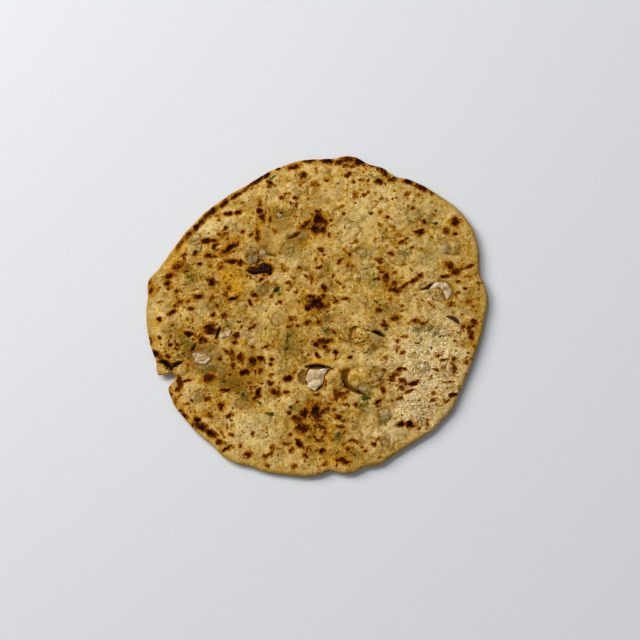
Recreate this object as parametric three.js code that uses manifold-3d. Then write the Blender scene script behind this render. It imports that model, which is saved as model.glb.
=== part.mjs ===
// A stuffed flatbread: a thin round of griddled dough closed over one layer of
// onion and herb filling. The top skin is torn in a few places, so the filling
// and the larger pieces of onion show there. Millimetres, +Z up, underside on z = 0.
import * as THREE from 'three';
import { mergeVertices } from 'three/addons/utils/BufferGeometryUtils.js';
import Module from 'manifold-3d';

// Whole bread
const HALF_WIDTH = 91.6;
const HALF_DEPTH = 87.6;
const RIM_HEIGHT = 3.75;
const CENTRE_HEIGHT = 5.2;
const RISE_LENGTH = 12;
const RIM_STEPS = 180;

// Layers
const TOP_SKIN = 1.45;
const UNDER_SKIN = 1.4;
const FILLING_REACH = 0.87;
const LAYER_STEPS = 60;
const SEAT_GAP = 0.3;

// Swells and hollows of the hand-rolled outline: at degrees, half width in degrees, rise in mm
const OUTLINE_SWELLS = [
  { at: 4, spread: 8, rise: 1.2 },
  { at: 12, spread: 5, rise: -0.9 },
  { at: 29, spread: 17, rise: 6.1 },
  { at: 45, spread: 15, rise: 3.1 },
  { at: 60, spread: 4, rise: -1.0 },
  { at: 66, spread: 5, rise: 0.9 },
  { at: 77, spread: 8, rise: 2.8 },
  { at: 108, spread: 15, rise: -2.3 },
  { at: 123, spread: 18, rise: -5.6 },
  { at: 142, spread: 18, rise: -5.0 },
  { at: 157, spread: 12, rise: -2.3 },
  { at: 168, spread: 6, rise: 2.6 },
  { at: 178, spread: 12, rise: 1.2 },
  { at: 196, spread: 8, rise: -1.2 },
  { at: 200, spread: 3, rise: 0.9 },
  { at: 208, spread: 5, rise: -1.4 },
  { at: 227, spread: 11, rise: 0.7 },
  { at: 240, spread: 9, rise: 3.1 },
  { at: 252, spread: 11, rise: 1.6 },
  { at: 264, spread: 8, rise: 0.9 },
  { at: 275, spread: 4, rise: -2.0 },
  { at: 282, spread: 4, rise: 1.0 },
  { at: 288, spread: 3, rise: -0.7 },
  { at: 292, spread: 4, rise: 1.0 },
  { at: 304, spread: 10, rise: -1.2 },
  { at: 323, spread: 6, rise: 0.9 },
  { at: 340, spread: 24, rise: -2.8 },
];

// Side of the rim: distance inward from the outline, height above the lifted edge
const RIM_PROFILE = [
  { inward: 9, height: 0 },
  { inward: 2.2, height: 0.35 },
  { inward: 0.6, height: 1.1 },
  { inward: 0, height: 1.9 },
  { inward: 0.5, height: 2.75 },
  { inward: 1.8, height: 3.35 },
];

// Soft lumps of the top, raised by what lies under the skin
const LUMPS = [
  { x: 29, y: -15, reach: 11, rise: 0.4 },
  { x: 11, y: -37, reach: 8, rise: 0.5 },
  { x: 27, y: -38, reach: 9, rise: 0.6 },
  { x: 67, y: 7, reach: 12, rise: 0.5 },
  { x: 74, y: 34.5, reach: 8, rise: 0.5 },
  { x: -60, y: -25, reach: 12, rise: 0.4 },
  { x: -31, y: 20, reach: 9, rise: 0.5 },
  { x: 18, y: -79, reach: 8, rise: 0.4 },
  { x: 26, y: 33, reach: 7, rise: 0.4 },
  { x: -82, y: -27, reach: 7, rise: 0.3 },
];

// Tears through the top skin, each a closed curve through these points
const TEARS = {
  front: [[-10.4, -36.5], [-7, -32.2], [-3, -30.2], [3, -30.4], [9.2, -31.7], [6.6, -34.4],
    [5.6, -37], [5.8, -40.2], [3.4, -43.2], [0, -44.6], [-4, -42.3], [-8, -39.6]],
  crescent: [[19.6, -31.4], [16.2, -33.8], [14.8, -38], [16.4, -42.2], [20, -44.8], [24.4, -46.2],
    [20.6, -43], [18.2, -40], [17.5, -36.5], [18.8, -33.4]],
  rightRing: [[57.4, 10.4], [61.2, 14], [66.8, 17], [73, 15.6], [77.2, 9.8], [78, 3.4],
    [74.6, 0.8], [69, 2.8], [63, 3.4], [59.6, 6.6]],
  left: [[-69.6, -22], [-66, -20.6], [-59, -20.8], [-53, -23.6], [-51.6, -27.8], [-56, -31],
    [-63, -31.2], [-67.4, -27.6]],
  chip: [[-54, -14.4], [-52.6, -8.4], [-50.4, -8], [-46, -8.6], [-43, -11.2], [-45.6, -14.6],
    [-50, -15.6]],
  back: [[-38, 31], [-36.6, 36], [-33.4, 37.6], [-30, 35.4], [-29, 31], [-30.4, 26.6],
    [-34, 25], [-37, 27]],
  far: [[71.8, 34.4], [72.6, 37.8], [75, 39], [77.6, 37.6], [78.6, 34.4], [77.6, 31],
    [75, 29.8], [72.6, 31]],
};

// Narrow cracks in the top skin: a centre line with a half width at each point
const CRACKS = {
  frame: [[20, -19.4, 0.25], [19.9, -14, 0.4], [20.4, -9.8, 0.45], [26, -9.4, 0.4],
    [31, -11.4, 0.6], [34, -12.8, 0.75], [37.4, -14.2, 0.25]],
};

// Corner torn out of the left edge, and the crack that runs on from it
const EDGE_NOTCH = [[-84.4, -33.4], [-80.5, -32.8], [-78, -31.5], [-76.7, -31.1], [-76.3, -32.6],
  [-75.4, -34.6], [-74.5, -36.6], [-75.7, -37.7], [-77.2, -37.4], [-78.7, -39.6], [-79.6, -42.6],
  [-97, -45], [-97, -33.4]];
const EDGE_CRACK = [[-77.4, -32, 0.7], [-75.6, -29.3, 0.75], [-73.2, -27.6, 0.6], [-71.2, -26.6, 0.2]];
const EDGE_CRACK_DEPTH = 2.2;

// Onion pieces that fill the tears: centre, half sizes, turn in degrees, depth pressed in
const ONIONS = {
  onion_front: { x: 0.8, y: -37.2, halfX: 4.7, halfY: 6.0, height: 2.1, turn: 0, sink: 0.18 },
  onion_left: { x: -60.4, y: -25.9, halfX: 6.9, halfY: 4.3, height: 1.9, turn: -14, sink: 0.15 },
  onion_chip: { x: -48.1, y: -11.7, halfX: 4.4, halfY: 2.4, height: 1.8, turn: 14, sink: 0 },
  onion_back: { x: -33.6, y: 31.2, halfX: 3.8, halfY: 5.6, height: 2.0, turn: 4, sink: 0 },
  onion_far: { x: 75.2, y: 34.4, halfX: 2.9, halfY: 4.1, height: 2.0, turn: 0, sink: 0.27 },
};
const ONION_STEPS = 16;

// Curved piece of onion ring in the right-hand tear
const RING = { x: 66.9, y: 6.6, radius: 7.2, halfWidth: 1.8, height: 1.9, from: 148, to: -34, sink: 0.4 };

const DEGREE = Math.PI / 180;

function bump(distance) {
  const left = Math.max(0, 1 - distance * distance);
  return left * left;
}

function smooth(t) {
  const u = Math.min(1, Math.max(0, t));
  return u * u * (3 - 2 * u);
}

function outlineRadius(angle) {
  const c = Math.cos(angle) / HALF_WIDTH;
  const s = Math.sin(angle) / HALF_DEPTH;
  let radius = 1 / Math.sqrt(c * c + s * s);
  for (const swell of OUTLINE_SWELLS) {
    const apart = ((angle / DEGREE - swell.at + 540) % 360) - 180;
    radius += swell.rise * bump(apart / swell.spread);
  }
  return radius;
}

// The edge lies a little clear of the table, more in some places than in others
function edgeLift(angle) {
  return 0.5 + 0.22 * Math.sin(2 * angle + 0.7) + 0.16 * Math.sin(5 * angle + 2.1);
}

function undersideHeight(share, angle) {
  return edgeLift(angle) * smooth((share - 0.76) / 0.24);
}

function topHeight(x, y) {
  const angle = Math.atan2(y, x);
  const edge = outlineRadius(angle);
  const share = Math.min(1, Math.hypot(x, y) / edge);
  const inward = (1 - share) * edge;
  const rise = (CENTRE_HEIGHT - RIM_HEIGHT) * (1 - Math.exp(-Math.max(0, inward - 4) / RISE_LENGTH));
  const waves = 0.16 * Math.sin(x / 11.5 + 0.6) * Math.sin(y / 13.5 - 0.4)
    + 0.12 * Math.sin((x + y) / 17 + 1.1)
    + 0.1 * Math.sin((x - 1.7 * y) / 14 + 2);
  let height = RIM_HEIGHT + rise + undersideHeight(share, angle) + waves * smooth(inward / 16);
  for (const lump of LUMPS) {
    height += lump.rise * bump(Math.hypot(x - lump.x, y - lump.y) / lump.reach);
  }
  return height;
}

// A closed surface from a bottom point through level rings to a top point.
// Neighbouring rings have the same number of points, or one has twice the other.
function surfaceFromRings(bottom, rings, top) {
  const positions = [...bottom];
  const faces = [];
  const starts = [];
  for (const ring of rings) {
    starts.push(positions.length / 3);
    for (const point of ring) {
      positions.push(...point);
    }
  }
  positions.push(...top);
  const last = positions.length / 3 - 1;
  const first = rings[0].length;
  for (let i = 0; i < first; i += 1) {
    faces.push(0, starts[0] + ((i + 1) % first), starts[0] + i);
  }
  for (let r = 0; r + 1 < rings.length; r += 1) {
    const lower = rings[r].length;
    const upper = rings[r + 1].length;
    const a = starts[r];
    const b = starts[r + 1];
    if (lower === upper) {
      for (let i = 0; i < lower; i += 1) {
        const j = (i + 1) % lower;
        faces.push(a + i, a + j, b + j, a + i, b + j, b + i);
      }
    } else if (lower > upper) {
      for (let i = 0; i < upper; i += 1) {
        const j = (i + 1) % upper;
        const p = 2 * i;
        faces.push(a + p, a + p + 1, b + i, a + p + 1, b + j, b + i);
        faces.push(a + p + 1, a + ((p + 2) % lower), b + j);
      }
    } else {
      for (let i = 0; i < lower; i += 1) {
        const j = (i + 1) % lower;
        const p = 2 * i;
        faces.push(a + i, b + p + 1, b + p, a + i, a + j, b + p + 1);
        faces.push(a + j, b + ((p + 2) % upper), b + p + 1);
      }
    }
  }
  const count = rings[rings.length - 1].length;
  const start = starts[rings.length - 1];
  for (let i = 0; i < count; i += 1) {
    faces.push(last, start + i, start + ((i + 1) % count));
  }
  const geometry = new THREE.BufferGeometry();
  geometry.setAttribute('position', new THREE.Float32BufferAttribute(positions, 3));
  geometry.setIndex(faces);
  return geometry;
}

function ringOf(steps, place) {
  const ring = [];
  for (let i = 0; i < steps; i += 1) {
    ring.push(place((i / steps) * 2 * Math.PI));
  }
  return ring;
}

function doughEnvelope() {
  const rings = [];
  for (const inside of [{ share: 0.35, steps: 45 }, { share: 0.72, steps: 90 }]) {
    rings.push(ringOf(inside.steps, (angle) => {
      const r = inside.share * outlineRadius(angle);
      return [r * Math.cos(angle), r * Math.sin(angle), 0];
    }));
  }
  for (const step of RIM_PROFILE) {
    rings.push(ringOf(RIM_STEPS, (angle) => {
      const edge = outlineRadius(angle);
      const r = edge - step.inward;
      const under = undersideHeight(r / edge, angle);
      return [r * Math.cos(angle), r * Math.sin(angle), under + step.height];
    }));
  }
  const tops = [
    { inward: 4.4, steps: 180 },
    { share: 0.88, steps: 90 },
    { share: 0.78, steps: 90 },
    { share: 0.66, steps: 90 },
    { share: 0.53, steps: 90 },
    { share: 0.39, steps: 45 },
    { share: 0.25, steps: 45 },
    { share: 0.12, steps: 45 },
  ];
  for (const step of tops) {
    rings.push(ringOf(step.steps, (angle) => {
      const edge = outlineRadius(angle);
      const r = step.share === undefined ? edge - step.inward : step.share * edge;
      const x = r * Math.cos(angle);
      const y = r * Math.sin(angle);
      return [x, y, topHeight(x, y)];
    }));
  }
  return surfaceFromRings([0, 0, 0], rings, [0, 0, topHeight(0, 0)]);
}

// The space between the skins, or with a gap the filling that lies in it
function innerLayer(gap) {
  const place = (share, angle, at) => {
    const edge = outlineRadius(angle);
    const r = share * edge - 2.6 * gap;
    const x = r * Math.cos(angle);
    const y = r * Math.sin(angle);
    const low = undersideHeight(share, angle) + UNDER_SKIN + gap;
    const high = topHeight(x, y) - TOP_SKIN - gap;
    return [x, y, low + at * (high - low)];
  };
  const rings = [];
  for (const step of [[0.4, 0], [0.74, 0], [FILLING_REACH - 0.015, 0.12], [FILLING_REACH, 0.5],
    [FILLING_REACH - 0.02, 0.9], [0.78, 1], [0.66, 1], [0.53, 1], [0.39, 1], [0.2, 1]]) {
    rings.push(ringOf(LAYER_STEPS, (angle) => place(step[0], angle, step[1])));
  }
  return surfaceFromRings([0, 0, UNDER_SKIN + gap], rings, [0, 0, topHeight(0, 0) - TOP_SKIN - gap]);
}

function closedCurve(points, steps) {
  const curve = new THREE.CatmullRomCurve3(
    points.map((p) => new THREE.Vector3(p[0], p[1], 0)), true, 'centripetal');
  return curve.getPoints(steps).slice(0, -1).map((p) => new THREE.Vector2(p.x, p.y));
}

// The outline of a crack: down one side of its centre line and back up the other
function crackOutline(line) {
  const ahead = [];
  const back = [];
  for (let i = 0; i < line.length; i += 1) {
    const before = line[Math.max(0, i - 1)];
    const after = line[Math.min(line.length - 1, i + 1)];
    const along = new THREE.Vector2(after[0] - before[0], after[1] - before[1]).normalize();
    const [x, y, half] = line[i];
    ahead.push(new THREE.Vector2(x - along.y * half, y + along.x * half));
    back.unshift(new THREE.Vector2(x + along.y * half, y - along.x * half));
  }
  return [...ahead, ...back];
}

function prism(outline, from, to) {
  const geometry = new THREE.ExtrudeGeometry(new THREE.Shape(outline), {
    depth: to - from,
    bevelEnabled: false,
  });
  geometry.translate(0, 0, from);
  return geometry;
}

// A flattened piece of onion with a gently uneven outline, resting just over the filling
function onionPiece(piece, seed) {
  const turn = piece.turn * DEGREE;
  const base = onionBase(piece.x, piece.y, Math.min(piece.halfX, piece.halfY)) - piece.sink;
  const rings = [];
  for (const level of [0.12, 0.3, 0.5, 0.7, 0.88]) {
    const wide = Math.pow(Math.sin(level * Math.PI), 0.42);
    rings.push(ringOf(ONION_STEPS, (angle) => {
      const uneven = 1 - 0.05 * (1 + Math.sin(3 * angle + seed)) - 0.03 * (1 + Math.sin(5 * angle + 2 * seed));
      const u = piece.halfX * wide * uneven * Math.cos(angle);
      const v = piece.halfY * wide * uneven * Math.sin(angle);
      const x = piece.x + u * Math.cos(turn) - v * Math.sin(turn);
      const y = piece.y + u * Math.sin(turn) + v * Math.cos(turn);
      const rise = 0.5 - 0.5 * Math.cos(level * Math.PI);
      return [x, y, base + piece.height * rise];
    }));
  }
  return surfaceFromRings([piece.x, piece.y, base], rings, [piece.x, piece.y, base + piece.height]);
}

function onionBase(x, y, reach) {
  let highest = 0;
  for (let i = 0; i < 8; i += 1) {
    const angle = (i / 8) * 2 * Math.PI;
    highest = Math.max(highest, topHeight(x + reach * Math.cos(angle), y + reach * Math.sin(angle)));
  }
  highest = Math.max(highest, topHeight(x, y));
  return highest - TOP_SKIN;
}

// A stretch of onion ring: an oval section carried along an arc, closed at both ends
function onionRing() {
  const across = 10;
  const along = 14;
  const base = onionBase(RING.x, RING.y, RING.radius) - RING.sink;
  const point = (at, share) => {
    const angle = (RING.from + (RING.to - RING.from) * at) * DEGREE;
    return [
      RING.x + (RING.radius + share) * Math.cos(angle),
      RING.y + (RING.radius + share) * Math.sin(angle),
    ];
  };
  const rings = [];
  for (let i = 0; i <= along; i += 1) {
    const at = 0.03 + 0.94 * (i / along);
    const swell = 0.55 + 0.45 * Math.sin(Math.PI * at);
    rings.push(ringOf(across, (turn) => {
      const [x, y] = point(at, RING.halfWidth * swell * Math.cos(turn));
      return [x, y, base + RING.height * (0.5 + 0.5 * swell * Math.sin(turn))];
    }));
  }
  const [startX, startY] = point(0, 0);
  const [endX, endY] = point(1, 0);
  const middle = base + RING.height / 2;
  return surfaceFromRings([startX, startY, middle], rings, [endX, endY, middle]);
}

const wasm = await Module();
wasm.setup();

function solidOf(geometry) {
  const bare = geometry.clone();
  bare.deleteAttribute('normal');
  bare.deleteAttribute('uv');
  const merged = mergeVertices(bare, 1e-4);
  return new wasm.Manifold(new wasm.Mesh({
    numProp: 3,
    vertProperties: new Float32Array(merged.attributes.position.array),
    triVerts: new Uint32Array(merged.index.array),
  }));
}

function geometryOf(solid) {
  const mesh = solid.getMesh();
  const geometry = new THREE.BufferGeometry();
  geometry.setAttribute('position', new THREE.BufferAttribute(mesh.vertProperties, 3));
  geometry.setIndex(new THREE.BufferAttribute(mesh.triVerts, 1));
  geometry.computeVertexNormals();
  return geometry;
}

function doughBody() {
  const inTheSpace = UNDER_SKIN + 0.9;
  const aboveAll = 2 * CENTRE_HEIGHT;
  let solid = solidOf(doughEnvelope()).subtract(solidOf(innerLayer(0)));
  for (const points of Object.values(TEARS)) {
    solid = solid.subtract(solidOf(prism(closedCurve(points, 26), inTheSpace, aboveAll)));
  }
  for (const line of Object.values(CRACKS)) {
    solid = solid.subtract(solidOf(prism(crackOutline(line), inTheSpace, aboveAll)));
  }
  const notch = EDGE_NOTCH.map((p) => new THREE.Vector2(p[0], p[1]));
  solid = solid.subtract(solidOf(prism(notch, -1, aboveAll)));
  const floor = RIM_HEIGHT - EDGE_CRACK_DEPTH;
  solid = solid.subtract(solidOf(prism(crackOutline(EDGE_CRACK), floor, aboveAll)));
  return geometryOf(solid);
}

const bread = new THREE.Group();

function addPiece(name, geometry, color, roughness) {
  const material = new THREE.MeshStandardMaterial({ color, roughness, metalness: 0 });
  const mesh = new THREE.Mesh(geometry, material);
  mesh.name = name;
  bread.add(mesh);
  return mesh;
}

const dough = doughBody();
addPiece('dough', dough, 0xd2ad68, 0.7);

const filling = innerLayer(SEAT_GAP);
filling.computeVertexNormals();
addPiece('filling', filling, 0x9a8440, 0.5);

Object.entries(ONIONS).forEach(([name, piece], index) => {
  const geometry = onionPiece(piece, 1 + 1.7 * index);
  geometry.computeVertexNormals();
  addPiece(name, geometry, 0xd9c8a6, 0.4);
});

const ring = onionRing();
ring.computeVertexNormals();
addPiece('onion_ring', ring, 0xd6cbb0, 0.4);

// The origin is the middle of the whole bread, on the table
dough.computeBoundingBox();
const middle = dough.boundingBox.getCenter(new THREE.Vector3());
bread.position.set(-middle.x, -middle.y, -dough.boundingBox.min.z);

const whole = new THREE.Group();
whole.add(bread);

export default whole;
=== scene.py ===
"""Looks of a stuffed griddled flatbread: baked dough, the filling in its tears, onion and herbs."""
import functools
import math
from types import SimpleNamespace

import bpy
import numpy as np
from mathutils import Matrix, Vector


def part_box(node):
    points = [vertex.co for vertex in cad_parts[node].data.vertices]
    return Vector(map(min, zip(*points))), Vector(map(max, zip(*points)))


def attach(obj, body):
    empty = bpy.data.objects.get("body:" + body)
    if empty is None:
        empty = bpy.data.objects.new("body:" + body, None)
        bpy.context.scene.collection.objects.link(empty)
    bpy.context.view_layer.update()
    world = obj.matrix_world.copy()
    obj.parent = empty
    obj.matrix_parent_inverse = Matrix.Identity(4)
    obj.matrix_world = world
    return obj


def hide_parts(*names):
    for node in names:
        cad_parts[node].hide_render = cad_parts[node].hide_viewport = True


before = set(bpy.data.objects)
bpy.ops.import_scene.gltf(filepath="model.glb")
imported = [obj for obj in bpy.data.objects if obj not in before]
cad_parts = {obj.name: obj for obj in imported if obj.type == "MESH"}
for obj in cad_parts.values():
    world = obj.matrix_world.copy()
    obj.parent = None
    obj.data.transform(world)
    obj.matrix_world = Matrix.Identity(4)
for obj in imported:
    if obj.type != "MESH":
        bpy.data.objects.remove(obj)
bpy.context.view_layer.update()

MM = 0.001
FULL_TURN = 2 * math.pi
# Stands in for nought where something is divided by it
TINY = 1e-9

# ---------------------------------------------------------------- the bread's shape, in millimetres
RIM_HEIGHT = 3.7
CENTRE_HEIGHT = 5.2
# How fast the height rises from the rim's towards the centre's
RISE_LENGTH = 12.0
# How thick the top skin is
TOP_SKIN = 1.45
# The gap between the filling's top and the skin over it
SEAT_GAP = 0.3
# From the flat underside up to the foot of the rounded side
SIDE_FOOT = 0.3
# About half the bread's width, against which the filling's width is measured
BREAD_REACH = 92.0
# Up to this share of its reach the underside is flat
FLAT_SHARE = 0.76

# The dough's mesh: cells across its top, how far in its side starts, the turn of each ring of the side
# in degrees, and for the underside each ring's share of the reach and the rings where its points halve
TOP_CELLS = 278
SIDE_DEPTH = 2.3
SIDE_TURNS = (68, 50, 32, 14, -6, -28, -52, -74)
UNDER_SHARES = (0.972, 0.955, 0.935, 0.91, 0.88, 0.85, 0.81, 0.77, 0.72, 0.67, 0.61, 0.55, 0.48, 0.41, 0.33,
                0.25, 0.17, 0.09)
HALVED_AT = (2, 8, 13)
# The ring of the side where the top's look ends and the underside's begins
SEAM_RING = len(SIDE_TURNS) - 3
# On the UV square the grid takes this share of its disc's radius, the side the rest
UV_TOP_SHARE = 0.955
# The two discs on the UV square, each a centre and a radius, and how far the rings that both share
# reach out on the smaller one
UV_TOP_DISC, UV_UNDER_DISC = (0.425, 0.42), (0.845, 0.148)
UV_RING_STEP = 0.008

# The filling's mesh: cells across, and for each ring of its side the height's share and the inset
FILLING_CELLS = 150
FILLING_SIDE = ((0.66, -0.25), (0.33, -0.25), (0.0, 0.6), (0.0, 20.0), (0.0, 45.0), (0.0, 66.0))
# Where it swells in a tear: x, y, reach, rise
FILLING_SWELLS = ((66.4, 8, 5.5, 1.0), (-6.6, -36, 2.6, 0.1))

# The notch in the edge lies between two angles; the outline is read at each of a closed row of angles
NOTCH_FROM, NOTCH_TO = math.radians(200.6), math.radians(208.8)
ANGLES = np.arange(2880) / 2880 * FULL_TURN
# Nothing nearer the middle than this belongs to the outline
OUTLINE_FROM = 75

# Marks and bits strewn by seeded draws
SMALL_DOME_COUNT = 210
FLECK_COUNT = 1150
UNDER_MARK_COUNT = 170
HERB_SPECK_COUNT = 120
# Values along each side of a noise's table
LATTICE = 256

# The camera: its two angles in degrees, its distance in metres and the place it aims at
CAMERA_AZIMUTH, CAMERA_ELEVATION = 22, 76
CAMERA_DISTANCE = 0.62
CAMERA_AIM = (2.585, -3.94, 0)
# The table's height, in metres
TABLE_HEIGHT = -0.0003

# Soft lumps of the top: x, y, reach, rise
LUMPS = [
    (29, -15, 11, 0.4), (11, -37, 8, 0.5), (27, -38, 9, 0.6), (67, 7, 12, 0.5), (74, 34.5, 8, 0.5),
    (-60, -25, 12, 0.4), (-31, 20, 9, 0.5), (18, -79, 8, 0.4), (26, 33, 7, 0.4), (-82, -27, 7, 0.3),
]

# Tears through the top skin: depth, softness of the edge, how dark inside, then the closed outline
TEARS = [
    (2.4, 0.8, 1.0, [(-3.8, -32), (-2.6, -30.2), (2, -29.9), (6.6, -30.6), (10, -31.8), (6.6, -33.4),
        (5.2, -36), (5.0, -39.8), (3.4, -42.6), (0.2, -43.6), (-2.8, -42.2), (-4.2, -39), (-4, -35)]),
    (0.9, 1.0, 1.0, [(-9, -36), (-7.6, -33), (-5, -31.8), (-3.4, -33), (-3.6, -40.6), (-6.4, -40.2),
        (-8.4, -38.6)]),
    (1.7, 0.8, 1.0, [(19.8, -31.4), (16.8, -31.4), (15, -34), (14.4, -37.6), (15.6, -41), (18.4, -42.6),
        (22, -44.4), (24.4, -45.2), (21.8, -42.4), (18.8, -40.8), (17.6, -38), (18.2, -34.6)]),
    (0.7, 1.3, 0.6, [(60.8, 11), (64, 14), (68.6, 15), (72.4, 13.4), (74.2, 9), (73.8, 4.6), (70.6, 3.2),
        (68.6, 6), (66.8, 10.4), (63.6, 10.2)]),
    (0.5, 1.6, 0.55, [(-68, -23), (-65.4, -19.6), (-60, -19.2), (-54.6, -21), (-53.4, -25),
        (-55.6, -28.4), (-60, -30), (-64.6, -29.4), (-67, -26.6)]),
    (0.6, 1.4, 0.5, [(-52, -12.6), (-50.2, -8.8), (-46.2, -6.8), (-43.6, -9), (-44.6, -12.6),
        (-48.6, -14.8)]),
    (0.5, 1.6, 0.5, [(-37.6, 28), (-38, 32), (-36.4, 36.6), (-33, 37.4), (-30.6, 34.4), (-26.4, 34),
        (-26.4, 31), (-30, 28), (-33.6, 26.2)]),
]

# Cracks in the skin: half width, depth, then the line's points
CRACKS = [
    (0.42, 0.9, [(19.6, -20), (19.4, -15), (20.2, -10.6), (21.4, -9.4), (26.2, -9.2)]),
    (0.42, 0.9, [(26.2, -9.4), (27.2, -11.4), (31, -12)]),
    (0.80, 2.4, [(31, -11.8), (34, -12.8), (37.6, -14.4)]),
    (0.38, 0.7, [(21.3, -18.8), (24, -18.4), (28, -17.4)]),
    (0.65, 2.2, [(-51.2, -7.4), (-52.2, -10.5), (-53.2, -14.2)]),
    (0.90, 2.4, [(-83.8, -26.3), (-81, -26.4), (-79.2, -28.2), (-77, -30.8)]),
    (0.60, 2.2, [(-77, -29.6), (-74.6, -28), (-71.6, -26.4)]),
    (0.60, 2.0, [(-64.6, -16.6), (-65.6, -18.6), (-66.8, -20.4)]),
    (0.30, 0.6, [(-77, -25.6), (-73, -23.4), (-67.4, -20.7)]),
    (0.30, 0.5, [(-74.6, -25.4), (-70, -23.6), (-67.4, -22.6)]),
    (0.45, 1.1, [(-26, 32.6), (-23, 31.8), (-20.6, 31)]),
    (0.55, 1.2, [(-14.4, 41), (-11, 42), (-8.4, 44.2)]),
    (0.60, 1.6, [(57.6, 10.2), (60.6, 11.2), (64.2, 14.2)]), (0.30, 0.5, [(53, 10), (57.6, 10.2)]),
    (0.60, 1.9, [(15.4, -38.4), (16.4, -40.8), (18.6, -42.4), (21.4, -43.4), (24, -44.8), (27, -46)]),
    (0.30, 0.6, [(20.6, -31.6), (24.6, -30.8), (30, -31), (35, -32.4), (36.6, -35), (35.4, -38),
        (31.6, -39.8), (27.6, -40.8)]),
    (0.25, 0.5, [(30.6, -32.4), (29.8, -35), (31, -37.6), (33.6, -38.6)]),
    (0.25, 0.5, [(20.6, 31.6), (23, 33.6), (27, 34.4), (31.4, 33.4)]),
    (0.28, 0.5, [(77.6, 31.4), (78.6, 34.2), (77.4, 37.8)]),
    (0.28, 0.5, [(71.8, 33.6), (73, 32), (74.4, 30.8)]),
    (0.75, 2.3, [(-4.4, -30.4), (0, -30), (5, -30.4), (10, -31.8)]),
    (0.25, 0.4, [(-31.5, -7.2), (-28.4, -6)]), (0.30, 0.8, [(-37.4, 32.4), (-36.4, 30.4), (-35.6, 28.6)]),
    (0.30, 0.5, [(-30.4, 36), (-30.2, 31), (-31, 27.4)]),
    (0.30, 0.5, [(-38, 27.2), (-33, 26), (-30.4, 28.6), (-26, 30.2)]),
    (0.28, 0.4, [(-20.6, 36), (-24, 35.2), (-27.4, 35.6)]),
    (0.40, 0.7, [(66, 16.0), (70.6, 14.4), (73.8, 11.8), (74.6, 8), (73.6, 3.4), (71.6, 2.2)]),
]

# Domes of onion and dough pressed up under the skin: x, y, half sizes, turn, rise, how grey and clear
DOMES = [
    (27, -36.6, 8.8, 5.8, 0, 1.5, 0.0), (33.6, -35, 3.2, 3.2, 0, 0.5, 0.2),
    (10.4, -37.6, 5.4, 6.8, -8, 1.1, 0.0), (24.8, -14.2, 5.4, 5.0, 0, 1.0, 0.1),
    (32.6, -16.4, 3.0, 4.6, 8, 0.5, 1.3), (-35.2, 34.6, 3.2, 3.2, 0, 0.5, 0.6),
    (-28.4, 33, 2.4, 2.8, 0, 0.5, 0.9), (66.4, 8.0, 3.6, 3.2, 20, 0.6, 0.0),
    (70.6, 32.8, 2.4, 3.2, 24, 0.6, 0.9), (75.3, 34.6, 3.6, 4.2, 0, 0.9, 0.7),
    (-60.6, -25.4, 6.0, 4.4, 0, 0.5, 0.6), (-53.6, -22.6, 3.4, 2.4, -20, 0.4, 0.7),
    (-48, -12, 4.6, 3.4, 20, 0.4, 0.4), (-7.2, -36.2, 3.2, 3.6, 0, 0.3, 0.1),
    (5.4, 15, 3.4, 3.4, 0, 0.5, 0.9), (-18.6, 54, 3.6, 2.6, 10, 0.5, 0.9),
    (27.4, 32.6, 4.4, 2.4, 0, 0.5, 0.7), (-62.4, -46, 3.4, 3.2, 0, 0.3, 0.8),
    (26, -43, 3.4, 2.4, -20, 0.5, 0.9), (-6, 42.2, 3.2, 2.4, 0, 0.5, 0.5),
    (-58.8, 4.6, 4.0, 2.6, 0, 0.5, 0.7), (-47.4, -4.6, 4.0, 2.6, 20, 0.4, 0.9),
    (-19.6, -4.4, 3.8, 3.0, 0, 0.5, 0.8), (-38.4, -13, 3.6, 4.0, 0, 0.4, 0.7),
    (-66.8, 36, 3.4, 2.6, 0, 0.3, 0.6), (-30, 12, 4.4, 2.8, 10, 0.4, 0.9),
    (62, 28, 5.0, 3.6, 0, 0.3, 0.6), (45, 28, 4.2, 3.0, 0, 0.4, 0.6), (54, 52, 4.0, 3.0, 0, 0.4, 0.8),
    (62, 50, 3.2, 2.6, 30, 0.4, 0.8), (-38, -50, 3.6, 3.0, 0, 0.4, 0.8),
    (-28, -58, 4.4, 3.4, 0, 0.3, 0.6), (-50.6, -32, 2.8, 4.4, 0, 0.5, 0.8),
    (37, -57, 3.4, 3.0, 0, 0.4, 0.9), (14, -66.4, 3.6, 2.4, 0, 0.3, 0.8),
    (58, -32, 3.0, 2.6, 0, 0.3, 0.9), (-76.6, -28, 3.0, 2.0, 0, 0.3, 0.5),
    (-72, -31.4, 4.0, 2.6, 10, 0.4, 0.3), (18.6, 42, 5.0, 3.0, 30, 0.5, 0.1),
    (-60, 57, 3.0, 2.4, 40, 0.3, 0.2), (40, 37, 4.0, 2.6, 20, 0.4, 0.2),
    (6, -49.6, 3.2, 2.2, 0, 0.4, 0.5),
]

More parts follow.
